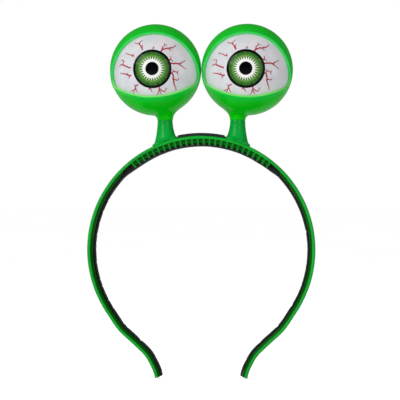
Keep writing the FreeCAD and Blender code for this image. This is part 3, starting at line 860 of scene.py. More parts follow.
NECK_SEG, NECK_STEPS = 128, 34
NECK_Z = PIVOT_Z + 1.2      # foot of the neck
CUP_R = 4.53                # hollow that sits over the post's dome
NECK_R, NECK_START_Z = 4.56, NECK_Z + 0.2


def under_ball(x, y):
    """Height of the right ball's underside."""
    return BALL_Z - math.sqrt(BALL_R ** 2 - (x - BALL_X) ** 2 - y * y)


def neck_top(c, s):
    """Where the neck meets the ball in direction (c, s): radius, z and the slope there."""
    radius = 9.6 - 2.6 * c          # further up on the side facing the other ball
    x, y = POST_X + radius * c, radius * s
    z = under_ball(x, y)
    normal = Vector((x - BALL_X, y, z - BALL_Z)).normalized()
    out = Vector((c, s, 0))
    tangent = (out - normal * out.dot(normal)).normalized()
    return radius, z, tangent.x * c + tangent.y * s, tangent.z


def neck_skirt(sign):
    """The flared neck, running smoothly into the ball's surface."""
    cup = []
    for degrees in (50, 44, 38, 32, 26, 20, 16):
        a = math.radians(degrees)
        cup.append((CUP_R * math.cos(a), PIVOT_Z + CUP_R * math.sin(a)))
    foot = [(4.40, NECK_Z - 0.01), (4.48, NECK_Z + 0.02), (4.54, NECK_Z + 0.09),
            (NECK_R, NECK_START_Z)]
    rings = [post_ring(r, z, NECK_SEG) for r, z in cup + foot]
    directions = [(math.cos(a), math.sin(a)) for a in turn(NECK_SEG)]
    tops = [neck_top(c, s) for c, s in directions]
    for i in range(1, NECK_STEPS + 1):
        w0, wt0, w1, wt1 = hermite(i / NECK_STEPS)
        ring = []
        for (c, s), (top_r, top_z, slope_r, slope_z) in zip(directions, tops):
            pull = 1.15 * math.hypot(top_r - NECK_R, top_z - NECK_START_Z)
            r = w0 * NECK_R + wt0 * 0.04 * pull + w1 * top_r + wt1 * slope_r * pull
            z = w0 * NECK_START_Z + wt0 * pull + w1 * top_z + wt1 * slope_z * pull
            ring.append((POST_X + r * c, r * s, z))
        rings.append(ring)
    # tuck the top edge under the ball's skin
    for lift, inset in ((0.35, 0.15), (0.9, 0.6)):
        ring = []
        for (c, s), top in zip(directions, tops):
            r = top[0] - inset
            x, y = POST_X + r * c, r * s
            ring.append((x, y, under_ball(x, y) + lift))
        rings.append(ring)
    ob = loft("skirt", rings, capped=False)
    # close it through the bore
    bm = bmesh.new()
    bm.from_mesh(ob.data)
    bmesh.ops.bridge_loops(bm, edges=[e for e in bm.edges if e.is_boundary])
    bmesh.ops.recalc_face_normals(bm, faces=bm.faces)
    bm.to_mesh(ob.data)
    bm.free()
    if sign < 0:
        mirror_x(ob)
    return ob


def eyelid(side, sign):
    lid, lip_light = lid_mesh(sign)
    ob = join("eyelid_shell_" + side, [lid, neck_skirt(sign)])
    # lip values: where the lid material paints its highlight and glow
    attribute(ob, "lip_light", lip_light + [0.0] * (len(ob.data.vertices) - len(lip_light)))
    sharp(ob, 60)
    centre_on(ob, ball_centre(sign))
    declare(ob, "eye_" + side, "lid_shell_" + side)
    return ob


# =================================================================== rear shells
DOOR_OPENING_R, DOOR_R = 12.6, 12.4


def shell_profile(start, end, n, ease=0.3):
    """Closed profile of the ball's shell between two angles from the axis, its edges eased."""
    step = ease / BALL_R
    eased, nearly = BALL_R - ease, BALL_R - ease * 0.3
    if start > 0:
        points = [polar(SHELL_IN, start), polar(eased, start), polar(nearly, start + step * 0.3),
                  polar(BALL_R, start + step)]
        first = start + step
    else:
        points = [(0.0, SHELL_IN), (0.0, BALL_R)]
        first = 0.0
    last = end - step
    points += [polar(BALL_R, first + (last - first) * i / n) for i in range(1, n)]
    points += [polar(BALL_R, last), polar(nearly, end - step * 0.3), polar(eased, end),
               polar(SHELL_IN, end)]
    points += [polar(SHELL_IN, start + (end - start) * i / n) for i in range(n - 1, 0, -1)]
    return points


def rear_shell(side, sign):
    """The rear half with two screw bosses; the left one has the door opening and button hole."""
    centre = ball_centre(sign)
    start = math.asin(DOOR_OPENING_R / BALL_R) if side == "left" else 0.0
    rear = lathe("rear", shell_profile(start, SEAM_ANGLE, 44), centre, (0, 1, 0), 160)
    if side == "left":
        collar = [(2.2, 25.4), (4.1, 25.4), (4.1, 26.45), (3.95, 26.72), (3.7, 26.85),
                  (3.2, 26.85), (2.95, 26.7), (2.2, 26.6)]
        boolean(rear, lathe("collar", collar, centre, BUTTON_AXIS, 72), "UNION")
        hole = [(0, 20), (2.72, 20), (2.72, 30), (0, 30)]
        boolean(rear, lathe("hole", hole, centre, BUTTON_AXIS, 72))
    boss = [(0.9, 2.05), (1.9, 2.05), (2.1, 2.3), (2.15, 20.3), (0.9, 20.3)]
    bosses = [lathe("boss", boss, (centre[0] + offset, 0, centre[2]), (0, 1, 0), 40)
              for offset in (-14.2, 14.2)]
    ob = join("rear_shell_" + side + "_moulding", [rear] + bosses)
    sharp(ob, 38)
    centre_on(ob, centre)
    declare(ob, "eye_" + side, "rear_shell_" + side)
    return ob


# =================================================================== domes, irises and veins
def eyeball_dome(side, sign):
    """The white half shell, open 1 mm in front of the ball's middle plane."""
    centre = ball_centre(sign)
    profile = [polar(EYE_R, math.acos(1.0 / EYE_R) * i / 60) for i in range(61)]
    profile += [polar(EYE_IN, math.acos(1.0 / EYE_IN) * i / 40) for i in range(40, -1, -1)]
    ob = lathe("eyeball_dome_" + side + "_gloss", profile, centre, (0, -1, 0), 192)
    sharp(ob, 60)
    centre_on(ob, centre)
    declare(ob, "eye_" + side, "eyeball_dome_" + side)
    return ob


IRIS_SEG = 192
IRIS_X, IRIS_Z = -0.3, -1.0         # iris centre from the ball's centre
IRIS_RADII = [0, 0.8, 1.6, 2.4, 3.1, 3.6, 3.75, 3.85, 4.0, 4.5, 5.0, 5.5, 6.0, 6.5, 7.0, 7.4, 7.8,
              8.2, 8.7, 9.2, 9.6, 9.8, 9.95, 10.2, 10.5, 10.8, 10.95, IRIS_R]


def iris_height(r):
    """Height above the dome: a low pupil dome and a raised outer ring."""
    if r <= 3.8:
        return 0.12 + 0.14 * math.sqrt(1 - (r / 3.86) ** 2) + 0.03
    if r >= 11.0:
        return 0.06
    return 0.15 if r > 9.9 else 0.12


def iris_label(side, sign):
    """Printed disc, following the dome, with a sunk back face."""
    cx, _, cz = ball_centre(sign)
    levels = [(r, iris_height(r)) for r in IRIS_RADII]
    levels += [(r, -0.12) for r in (IRIS_R, 8.0, 4.0, 0.0)]
    verts, rings = [], []
    for r, height in levels:
        first = len(verts)
        for a in turn(IRIS_SEG if r else 1):
            x, z = r * math.cos(a) + IRIS_X, r * math.sin(a) + IRIS_Z
            y = -(math.sqrt(EYE_R ** 2 - x * x - z * z) + height)
            verts.append((cx + x, y, cz + z))
        rings.append(list(range(first, len(verts))) if r else [first] * IRIS_SEG)
    faces = []
    for a, b in zip(rings, rings[1:]):
        faces += quads_between(a, b)
    ob = new_mesh("iris_print_" + side, verts, faces)
    centre_on(ob, (cx + IRIS_X, 0, cz + IRIS_Z))
    declare(ob, "eye_" + side, "iris_label_" + side)
    return ob


# blood vessels: start width, end width (shares of VEIN_HALF_W), then (x, z) from the dome's axis
VEIN_HALF_W = 0.56
VEINS = [
    (1.0, 0.75, [(-6.00, 9.88), (-6.29, 10.81), (-6.76, 11.74), (-7.52, 12.84), (-8.15, 13.77)]),
    (0.75, 0.42, [(-8.15, 13.77), (-8.87, 13.90), (-9.50, 13.86), (-10.22, 14.19),
                  (-10.90, 14.62)]),
    (0.7, 0.42, [(-7.94, 13.52), (-7.69, 14.36), (-7.18, 15.04), (-6.13, 15.97)]),
    (0.6, 0.42, [(-6.34, 11.24), (-6.08, 12.17), (-6.00, 13.14)]),
    (0.9, 0.42, [(0.30, 10.31), (0.17, 11.03), (0.84, 11.74)]),
    (1.0, 0.9, [(4.65, 8.91), (5.15, 9.63), (5.91, 10.18), (7.39, 10.65), (9.08, 11.03)]),
    (0.9, 0.42, [(9.08, 11.03), (10.35, 11.24), (11.41, 11.45), (12.46, 12.50), (13.10, 13.10)]),
    (0.8, 0.42, [(5.28, 9.88), (5.49, 10.81), (5.70, 11.66), (6.76, 12.72), (6.34, 13.86)]),
    (0.5, 0.42, [(6.76, 12.72), (7.43, 12.84), (8.20, 12.72)]),
    (0.7, 0.42, [(9.08, 11.03), (9.55, 10.18), (10.56, 9.46)]),
    (0.9, 0.42, [(9.08, 4.06), (10.05, 4.27), (10.31, 5.15), (10.14, 6.25)]),
    (0.7, 0.42, [(10.05, 4.27), (10.81, 3.97), (11.70, 3.21)]),
    (1.0, 0.9, [(9.08, 2.15), (11.41, 1.99), (13.31, 2.20), (14.79, 1.94)]),
    (0.85, 0.42, [(14.79, 1.94), (15.88, 2.45), (16.69, 3.00), (17.49, 3.55), (18.50, 4.14)]),
    (0.85, 0.42, [(14.79, 1.94), (15.88, 1.10), (16.90, 0.46), (18.80, -0.93)]),
    (1.0, 0.9, [(9.50, -3.13), (10.98, -3.76), (11.53, -4.48), (11.66, -6.08), (11.74, -7.77),
                (12.04, -9.46)]),
    (0.85, 0.42, [(12.04, -9.46), (12.34, -10.31), (12.67, -11.24), (13.14, -13.14)]),
    (0.8, 0.42, [(10.98, -3.76), (11.32, -2.91), (11.62, -2.28), (11.41, -1.35)]),
    (0.75, 0.42, [(11.62, -2.28), (12.76, -2.53), (13.94, -2.91), (14.40, -1.77)]),
    (0.5, 0.42, [(13.94, -2.91), (14.15, -4.27)]),
    (0.75, 0.42, [(11.91, -7.01), (12.93, -7.14), (13.94, -7.35), (14.87, -6.00)]),
    (1.0, 0.42, [(3.59, -10.94), (3.72, -12.00), (3.55, -12.93), (3.04, -14.32), (2.24, -15.67)]),
    (0.7, 0.42, [(3.63, -12.84), (4.14, -14.11), (4.73, -15.46)]),
    (0.75, 0.42, [(3.68, -12.42), (4.98, -13.18), (6.34, -13.90), (7.18, -12.84), (7.90, -11.70)]),
    (0.8, 0.42, [(-1.69, -11.79), (-2.11, -12.25), (-2.79, -12.93)]),
    (0.8, 0.42, [(-1.69, -11.79), (-1.10, -12.84), (-0.38, -14.19)]),
    (1.0, 0.42, [(-8.45, -9.88), (-9.29, -10.31), (-10.14, -10.52), (-11.07, -9.84)]),
    (0.85, 0.42, [(-10.14, -10.52), (-10.31, -11.57), (-10.56, -12.42), (-11.66, -14.62)]),
    (0.7, 0.42, [(-10.56, -12.42), (-11.74, -12.93), (-13.18, -13.52)]),
    (0.65, 0.42, [(-10.18, -11.49), (-9.72, -12.84), (-9.04, -14.36)]),
    (1.0, 0.9, [(-12.46, -4.39), (-13.31, -4.82), (-14.02, -4.56), (-14.57, -4.18)]),
    (0.85, 0.42, [(-14.57, -4.18), (-16.47, -3.55), (-18.08, -3.29), (-19.52, -2.75)]),
    (0.7, 0.42, [(-13.31, -4.82), (-13.77, -5.58), (-13.98, -6.59)]),
    (0.6, 0.42, [(-14.57, -4.18), (-14.79, -3.13)]),
    (1.0, 0.85, [(-12.88, -0.38), (-13.73, -0.08), (-14.57, 0.25), (-15.71, 0.76),
                 (-16.47, 1.10)]),
    (0.8, 0.42, [(-16.47, 1.10), (-17.24, 1.77), (-17.53, 2.37), (-17.11, 3.63), (-17.74, 4.48),
                 (-19.09, 4.48)]),
    (0.75, 0.42, [(-16.47, 1.10), (-17.74, 1.61), (-19.01, 1.94), (-19.69, 0.80)]),
    (0.95, 0.42, [(-10.77, 6.59), (-11.32, 6.46), (-11.83, 6.59), (-13.10, 7.27), (-14.36, 7.77),
                  (-16.35, 8.53)]),
    (0.6, 0.42, [(-11.83, 6.59), (-11.49, 7.10), (-10.94, 7.73)]),
]
# section of a vein: offset as a share of its half width, height above the dome
VEIN_SECTION = [(-1.0, -0.05), (-0.72, 0.035), (-0.3, 0.07), (0.3, 0.07), (0.72, 0.035),
                (1.0, -0.05)]


def vein_print(side, sign):
    """Low, rounded ridges of print lying on the dome."""
    rng = np.random.default_rng(11 + sign)
    cx, cy, cz = ball_centre(sign)
    m = len(VEIN_SECTION)
    verts, faces = [], []
    for start_w, end_w, points in VEINS:
        line = catmull(points, 8)
        n = len(line)
        base = len(verts)
        phase = rng.uniform(0, 6.28)
        for i, point in enumerate(line):
            t = i / (n - 1)
            along = line[min(i + 1, n - 1)] - line[max(i - 1, 0)]
            along /= np.linalg.norm(along)
            across = np.array([-along[1], along[0]])
            wobble = 0.10 * math.sin(t * 17 + phase) + 0.06 * math.sin(t * 41 + phase * 2)
            width = VEIN_HALF_W * (start_w + (end_w - start_w) * t)
            width *= 1 + 0.16 * math.sin(t * 23 + phase)
            if i == n - 1:
                width = 0.08
            middle = point + across * wobble * min(1, 4 * t)
            for offset, height in VEIN_SECTION:
                x, z = (middle + across * offset * width) / EYE_R
                radius = EYE_R + height * (0.6 + 0.4 * min(1.0, width / 0.3))
                y = -math.sqrt(1 - x * x - z * z)
                verts.append((cx + x * radius, cy + y * radius, cz + z * radius))
        faces += [tuple(base + k for k in face) for face in grid_faces(n, m)]
        faces.append(tuple(base + j for j in range(m)))
        faces.append(tuple(base + (n - 1) * m + j for j in reversed(range(m))))
    ob = new_mesh("vein_print_" + side, verts, faces, merge=False)
    centre_on(ob, ball_centre(sign))
    declare(ob, "eye_" + side)
    return ob


EYE_PARTS = (eyelid, rear_shell, eyeball_dome, iris_label, vein_print)
eyes = [[build(side, sign) for build in EYE_PARTS] for side, sign in SIDES]

# =================================================================== battery door and button
DOOR_SCREW_DROP = 9.9       # screw below the ball's centre


def grip_rib(index, centre):
    """One raised bar across the door, above its middle."""
    z = 5.0 + index * 1.25
    half_w = 4.2 - 0.35 * abs(index - 2)
    rings = []
    for k in range(25):
        x = -half_w + 2 * half_w * k / 24
        taper = math.sqrt(max(0.0, 1 - (x / half_w) ** 2)) ** 0.5
        r = max(0.02, 0.34 * taper)
        normal = Vector((x, math.sqrt(BALL_R ** 2 - x * x - z * z), z)).normalized()
        along = Vector((1, 0, 0))
        along = (along - normal * along.dot(normal)).normalized()
        across = normal.cross(along)
        ring = []
        for a in turn(16):
            p = (normal * (BALL_R + 0.02) + across * r * math.cos(a)
                 + normal * r * 0.9 * math.sin(a))
            ring.append((centre[0] + p.x, p.y, centre[2] + p.z))
        rings.append(ring)
    return loft("rib", rings)


def battery_door():
    """Eased cap in the left ball's rear, with grip ribs and a bored boss for its screw."""
    centre = ball_centre(-1)
    screw = (centre[0], 0, centre[2] - DOOR_SCREW_DROP)
    back = (0, 1, 0)
    door = lathe("door", shell_profile(0.0, math.asin(DOOR_R / BALL_R), 26), centre, back, 144)
    boss = [(1.1, 20.1), (2.45, 20.1), (2.6, 20.3), (2.6, 24.2), (1.1, 24.2)]
    boolean(door, lathe("door_boss", boss, screw, back, 48), "UNION")
    head_y = math.sqrt(BALL_R ** 2 - DOOR_SCREW_DROP ** 2) - 1.4
    recess = [(0, head_y - 0.03), (2.0, head_y - 0.03), (2.05, head_y + 1.0), (2.5, head_y + 2.2),
              (2.5, 30), (0, 30)]
    boolean(door, lathe("recess", recess, screw, back, 64))
    bore = [(0, 15), (1.06, 15), (1.06, 28), (0, 28)]
    boolean(door, lathe("bore", bore, screw, back, 48))
    ob = join("battery_door_cap", [door] + [grip_rib(i, centre) for i in range(5)])
    sharp(ob, 38)
    centre_on(ob, centre)
    declare(ob, "door", "battery_door")
    return ob


def push_button():
    """A dished cap on its flange."""
    centre = ball_centre(-1)
    profile = [(0.0, 21.6), (2.4, 21.6), (2.55, 21.75), (2.6, 22.0), (2.6, 23.2), (3.45, 23.25),
               (3.5, 23.4), (3.5, 24.1), (3.45, 24.25), (2.6, 24.3), (2.6, 27.0), (2.54, 27.22),
               (2.38, 27.36), (2.2, 27.4), (2.0, 27.37), (1.5, 27.2), (0.9, 27.08), (0.0, 27.03)]
    ob = lathe("push_button_cap", profile, centre, BUTTON_AXIS, 72, closed=False)
    sharp(ob, 50)
    centre_on(ob, centre)
    declare(ob, "button", "push_button")
    return ob


door = battery_door()
button = push_button()


# =================================================================== shader helpers
def srgb(r, g, b):
    """Linear colour from 8-bit sRGB."""
    def linear(c):
        c /= 255.0
        return c / 12.92 if c <= 0.04045 else ((c + 0.055) / 1.055) ** 2.4
    return (linear(r), linear(g), linear(b), 1.0)


def darker(colour, factor):
    return tuple(c * factor for c in colour[:3]) + (1,)


class Nodes:
    """Adds nodes to a tree. Arguments may be sockets, which are linked, or plain values."""

    def __init__(self, tree):
        self.tree = tree

    def add(self, kind, **settings):
        node = self.tree.nodes.new(kind)
        for key, value in settings.items():
            setattr(node, key, value)
        return node

    def feed(self, socket, value):
        if isinstance(value, bpy.types.NodeSocket):
            self.tree.links.new(value, socket)
        else:
            socket.default_value = value

    def remap(self, value, between, to=(0.0, 1.0)):
        node = self.add("ShaderNodeMapRange")
        for i, v in enumerate((value, *between, *to)):
            self.feed(node.inputs[i], v)
        return node.outputs[0]

    def split(self, vector):
        node = self.add("ShaderNodeSeparateXYZ")
        self.feed(node.inputs[0], vector)
        return node.outputs


class Material(Nodes):
    """A material with one Principled shader."""

    def __init__(self, name):
        self.material = bpy.data.materials.new(name)
        self.material.use_nodes = True
        super().__init__(self.material.node_tree)
        self.tree.nodes.clear()
        output = self.add("ShaderNodeOutputMaterial")
        self.shader = self.add("ShaderNodeBsdfPrincipled")
        self.feed(output.inputs[0], self.shader.outputs[0])

    def set(self, **inputs):
        """Feeds the shader's inputs; underscores stand for spaces."""
        for key, value in inputs.items():
            self.feed(self.shader.inputs[key.replace("_", " ")], value)

    def coords(self):
        return self.add("ShaderNodeTexCoord").outputs["Object"]

    def attribute(self, name):
        return self.add("ShaderNodeAttribute", attribute_name=name).outputs["Fac"]

    def mapping(self, vector, **inputs):
        node = self.add("ShaderNodeMapping")
        for key, value in inputs.items():
            node.inputs[key].default_value = value
        self.feed(node.inputs["Vector"], vector)
        return node.outputs[0]

    def noise(self, vector, scale, detail=3.0, roughness=0.5):
        node = self.add("ShaderNodeTexNoise")
        node.inputs["Scale"].default_value = scale
        node.inputs["Detail"].default_value = detail
        node.inputs["Roughness"].default_value = roughness
        self.feed(node.inputs["Vector"], vector)
        return node.outputs["Fac"]

    def ramp(self, factor, stops):
        node = self.add("ShaderNodeValToRGB")
        elements = node.color_ramp.elements
        while len(elements) > 1:
            elements.remove(elements[-1])
        elements[0].position, elements[0].color = stops[0]
        for position, colour in stops[1:]:
            elements.new(position).color = colour
        self.feed(node.inputs[0], factor)
        return node.outputs["Color"]

    def math(self, operation, *values, clamp=False):
        node = self.add("ShaderNodeMath", operation=operation, use_clamp=clamp)
        for socket, value in zip(node.inputs, values):
            self.feed(socket, value)
        return node.outputs[0]

    def times(self, a, b, clamp=False):
        return self.math("MULTIPLY", a, b, clamp=clamp)

    def mix(self, factor, a, b):
        node = self.add("ShaderNodeMix", data_type="RGBA", blend_type="MIX")
        for socket, value in ((0, factor), (6, a), (7, b)):
            self.feed(node.inputs[socket], value)
        return node.outputs[2]

    def facing(self, power):
        """Rises from 0 face-on to 1 at grazing angles."""
        return self.math("POWER", self.add("ShaderNodeLayerWeight").outputs["Facing"], power)

    def bump(self, height, strength, distance, before=None):
        """Distance is in metres; before is a normal to build on."""
        node = self.add("ShaderNodeBump")
        node.inputs["Strength"].default_value = strength
        node.inputs["Distance"].default_value = distance
        self.feed(node.inputs["Height"], height)
        if before is not None:
            self.feed(node.inputs["Normal"], before)
        return node.outputs[0]


# =================================================================== plastics
def moulded(name, base, dark, light, rough, coat, grain, wear, facing=None, emit=0.0, inner_shade=None):
    """Moulded plastic: slow colour drift, fine pebble, rubbed edges and faint scratches.

    wear is the strength of the light rubbed edges, grain that of the pebble, facing a (colour, amount,
    power) colour painted in at grazing angles: a dark colour paints edge shade, a pale one a rim
    highlight. The head side's colour is painted shade, and emit paints a glow in the surface's own
    colour.
    """
    m = Material(name)
    v = m.coords()
    drift = m.noise(v, scale=95.0)
    colour = m.mix(m.remap(drift, between=(0.35, 0.68)), dark, base)
    fleck = m.noise(v, scale=1400.0, detail=2.0, roughness=0.6)
    colour = m.mix(m.remap(fleck, between=(0.62, 0.8), to=(0.0, 0.10)), colour, light)
    pointiness = m.add("ShaderNodeNewGeometry").outputs["Pointiness"]
    edge = m.remap(pointiness, between=(0.515, 0.57), to=(0.0, wear))
    if inner_shade:
        edge = m.times(edge, m.attribute("rubbed"))
    colour = m.mix(edge, colour, light)
    # painted light at grazing angles: edge shade with a dark colour, a rim highlight with a pale one
    if facing:
        grazing_paint, amount, power = facing
        colour = m.mix(m.times(m.facing(power), amount, clamp=True), colour, grazing_paint)
    # painted shade: the head side of the band turns dark green
    if inner_shade:
        painted_inner_shade = m.mix(m.remap(drift, between=(0.35, 0.68)), darker(inner_shade, 0.8), inner_shade)
        colour = m.mix(m.attribute("inner_shade"), colour, painted_inner_shade)
    # painted glow: the surface emits its own colour
    if emit:
        m.set(Emission_Color=colour, Emission_Strength=emit)
    stretched = m.mapping(v, Scale=(1, 18, 1), Rotation=(0.3, 0.5, 0.8))
    scratch = m.noise(stretched, scale=260.0, detail=5.0, roughness=0.65)
    smudge = m.noise(v, scale=60.0, detail=4.0, roughness=0.6)
    roughness = m.math("ADD", m.remap(smudge, between=(0.3, 0.7), to=(rough - 0.06, rough + 0.09)),
                       m.remap(scratch, between=(0.6, 0.75), to=(0.0, 0.12)))
    normal = m.bump(m.noise(v, scale=2600.0), strength=grain, distance=0.00012)
    normal = m.bump(m.noise(v, scale=210.0), strength=0.18, distance=0.0006, before=normal)
    m.set(Base_Color=colour, Roughness=roughness, Normal=normal, Coat_Weight=coat,
          Coat_Roughness=0.12, IOR=1.49, Specular_IOR_Level=0.08)
    return m


# shared by both halves of the translucent green balls
BALL_LOOK = dict(base=srgb(0, 198, 0), dark=srgb(0, 187, 0), light=srgb(24, 212, 44),
                 rough=0.24, coat=0.05, grain=0.12)
# pale colour of the painted rim highlight at grazing angles
BALL_RIM_HIGHLIGHT = srgb(50, 200, 92)


def lid_material():
    """The ball's green, with a painted highlight along the lids' lips and a painted glow just behind
    them, both stronger on the lower lid.
    """
    # painted rim highlight at grazing angles, and a painted glow
    m = moulded("green_eyelid_shell", wear=0.04, facing=(BALL_RIM_HIGHLIGHT, 0.35, 3.0), emit=0.10,
                **BALL_LOOK)
    lip_light = m.attribute("lip_light")
    base = m.shader.inputs["Base Color"].links[0].from_socket
    height = m.split(m.coords())["Z"]
    low = m.remap(height, between=(-0.004, -0.012))     # 1 on the lower lid
    # painted highlight along the lip's edge, paler on the lower lid
    painted_rim = m.mix(low, srgb(84, 222, 124), srgb(158, 232, 136))
    # painted glow just behind the lip, brightest under the lower lid
    under_lip_glow = m.mix(low, srgb(24, 196, 62), srgb(12, 206, 63))
    under_lip_glow_amount = m.times(m.remap(lip_light, between=(0.0, 0.5)),
                          m.remap(low, between=(0.0, 1.0), to=(0.5, 0.85)))
    colour = m.mix(under_lip_glow_amount, base, under_lip_glow)
    painted_rim_amount = m.times(m.remap(lip_light, between=(0.55, 0.95)),
                         m.remap(low, between=(0.0, 1.0), to=(0.7, 0.8)))
    colour = m.mix(painted_rim_amount, colour, painted_rim)
    m.set(Base_Color=colour, Emission_Color=colour)
    return m


# =================================================================== eye prints and white
def eye_white_material():
    m = Material("eyeball_white_gloss")
    v = m.coords()
    # painted shade: the white turns greyer towards its edges
    painted_rim = m.facing(power=2.2)
    mottle = m.noise(v, scale=140.0, detail=4.0)
    colour = m.mix(m.remap(mottle, between=(0.3, 0.7)), srgb(192, 193, 197), srgb(206, 206, 210))
    blush = m.noise(v, scale=60.0, roughness=0.6)
    colour = m.mix(m.remap(blush, between=(0.52, 0.78), to=(0, 0.22)), colour, srgb(235, 200, 205))
    colour = m.mix(m.times(painted_rim, 0.9, clamp=True), colour, srgb(174, 185, 187))
    roughness = m.remap(m.noise(v, scale=90.0), between=(0.3, 0.7), to=(0.16, 0.26))
    normal = m.bump(m.noise(v, scale=900.0), strength=0.08, distance=0.0001)
    # painted glow: the white emits its own colour
    m.set(Base_Color=colour, Emission_Color=colour, Roughness=roughness, Normal=normal,
          Coat_Weight=0.08, Coat_Roughness=0.12, IOR=1.5, Specular_IOR_Level=0.12,
          Emission_Strength=0.30, Subsurface_Weight=0.15, Subsurface_Scale=0.002)
    return m


def vein_material():
    m = Material("vein_print_ink")
    v = m.coords()
    ink = m.noise(v, scale=700.0, roughness=0.6)
    colour = m.mix(m.remap(ink, between=(0.3, 0.7)), srgb(166, 8, 38), srgb(198, 38, 70))
    patch = m.noise(v, scale=1500.0, detail=2.0)
    normal = m.bump(m.noise(v, scale=3000.0, detail=2.0), strength=0.1, distance=0.00005)
    m.set(Base_Color=colour, Roughness=m.remap(patch, between=(0.3, 0.7), to=(0.28, 0.42)),
          Normal=normal, Coat_Weight=0.3, Coat_Roughness=0.1)
    return m


# share of the iris radius, colour
BLACK, PUPIL, WHITE = srgb(3, 5, 8), srgb(2, 3, 8), srgb(250, 252, 246)
IRIS_STOPS = [
    (0.0, PUPIL), (0.338, PUPIL), (0.352, WHITE), (0.53, WHITE), (0.58, srgb(208, 228, 180)),
    (0.62, srgb(142, 188, 104)), (0.655, srgb(112, 168, 78)), (0.69, srgb(86, 144, 60)),
    (0.745, srgb(58, 120, 42)), (0.81, srgb(44, 102, 33)), (0.87, srgb(36, 86, 30)),
    (0.885, BLACK), (1.0, BLACK)]
IRIS_TICKS = 28.0


def iris_material():
    """Concentric printed rings and radial ticks, from the label's own coordinates."""
    m = Material("iris_print_ink")
    v = m.coords()
    axes = m.split(v)
    x, z = axes["X"], axes["Z"]
    radius = m.math("SQRT", m.math("ADD", m.times(x, x), m.times(z, z)))
    wobble = m.times(m.math("SUBTRACT", m.noise(v, scale=500.0), 0.5), 0.00025)
    share = m.math("DIVIDE", m.math("ADD", radius, wobble), IRIS_R * MM)
    colour = m.ramp(share, IRIS_STOPS)
    # radial fibres in the green zone
    angle = m.math("ARCTAN2", z, x)
    spokes = m.add("ShaderNodeCombineXYZ")
    m.feed(spokes.inputs[0], m.times(angle, 9.0))
    m.feed(spokes.inputs[1], m.times(radius, 120.0))
    fibre = m.noise(spokes.outputs[0], scale=2.2, detail=4.0)
    zone = m.times(m.remap(share, between=(0.58, 0.66)), m.remap(share, between=(0.9, 0.84)))
    dark = m.remap(fibre, between=(0.45, 0.7), to=(0, 0.4))
    colour = m.mix(m.times(dark, zone), colour, srgb(30, 84, 34))
    pale = m.remap(fibre, between=(0.5, 0.32), to=(0, 0.25))
    colour = m.mix(m.times(pale, zone), colour, srgb(150, 196, 100))
    # dark ticks round the pale ring
    tick = m.remap(m.math("SINE", m.times(angle, IRIS_TICKS)), between=(-0.35, 0.15))
    ring = m.times(m.remap(share, between=(0.475, 0.505)), m.remap(share, between=(0.65, 0.61)))
    colour = m.mix(m.times(m.times(tick, ring), 0.95), colour, srgb(44, 94, 40))
    roughness = m.remap(m.noise(v, scale=800.0), between=(0.3, 0.7), to=(0.14, 0.24))
    normal = m.bump(m.noise(v, scale=1600.0), strength=0.08, distance=0.00006)
    m.set(Base_Color=colour, Roughness=roughness, Normal=normal, Coat_Weight=0.04,
          Coat_Roughness=0.1, Specular_IOR_Level=0.08)
    return m


# =================================================================== cloth, metal and small parts
WEAVE_PITCH = 0.62


def cloth_material():
    """Charcoal woven cloth: crossed threads, slubs and lint."""
    m = Material("charcoal_liner_cloth")
    run = m.attribute("run")
    across = m.attribute("across")
    height = m.attribute("height")
    turns = 2 * math.pi / WEAVE_PITCH
    warp = m.math("SINE", m.times(run, turns))
    weft = m.math("SINE", m.times(m.math("ADD", across, height), turns))
    over = m.times(warp, weft)
    thread = m.math("ADD", m.math("ABSOLUTE", warp), m.math("ABSOLUTE", weft))
    relief = m.math("ADD", m.times(over, 0.5), m.times(thread, 0.4))
    v = m.coords()
    fuzz = m.noise(v, scale=5200.0, roughness=0.7)
    relief = m.math("ADD", relief, m.times(fuzz, 0.5))
    slub = m.noise(v, scale=240.0, roughness=0.6)
    colour = m.mix(m.remap(over, between=(-0.8, 0.8)), srgb(26, 27, 29), srgb(53, 55, 58))
    colour = m.mix(m.remap(slub, between=(0.35, 0.7), to=(0, 0.5)), colour, srgb(22, 23, 25))
    colour = m.mix(m.remap(fuzz, between=(0.62, 0.8), to=(0, 0.3)), colour, srgb(90, 92, 96))
    m.set(Base_Color=colour, Roughness=m.remap(slub, between=(0.3, 0.7), to=(0.78, 0.95)),
          Normal=m.bump(relief, strength=0.7, distance=0.00022),
          Sheen_Weight=0.22, Sheen_Roughness=0.4, Specular_IOR_Level=0.2)
    return m


def metal(name, base, rough, stretch=(1, 1, 24)):
    """Brushed metal; stretch squeezes the brushing noise along each axis."""
    m = Material(name)
    v = m.coords()
    brushed = m.noise(m.mapping(v, Scale=stretch), scale=420.0, detail=4.0, roughness=0.6)
    spot = m.noise(v, scale=160.0, detail=4.0, roughness=0.6)
    colour = m.mix(m.remap(spot, between=(0.45, 0.75), to=(0, 0.6)), base, darker(base, 0.55))
    m.set(Base_Color=colour,
          Roughness=m.remap(brushed, between=(0.3, 0.7), to=(rough - 0.08, rough + 0.14)),
          Normal=m.bump(brushed, strength=0.15, distance=0.0001), Metallic=1.0)
    return m


def board_material():
    m = Material("solder_mask_board")
    v = m.coords()
    brick = m.add("ShaderNodeTexBrick")
    brick.inputs["Scale"].default_value = 420.0
    brick.inputs["Mortar Size"].default_value = 0.012
    m.feed(brick.inputs["Vector"], v)
    tracks = brick.outputs["Fac"]
    drift = m.noise(v, scale=400.0, detail=4.0, roughness=0.6)
    colour = m.mix(m.remap(drift, between=(0.3, 0.7)), srgb(14, 84, 42), srgb(20, 104, 52))
    colour = m.mix(m.times(tracks, 0.5), colour, srgb(44, 140, 74))
    patch = m.noise(v, scale=300.0, detail=2.0)
    m.set(Base_Color=colour, Roughness=m.remap(patch, between=(0.3, 0.7), to=(0.3, 0.42)),
          Normal=m.bump(tracks, strength=0.2, distance=0.00005))
    return m


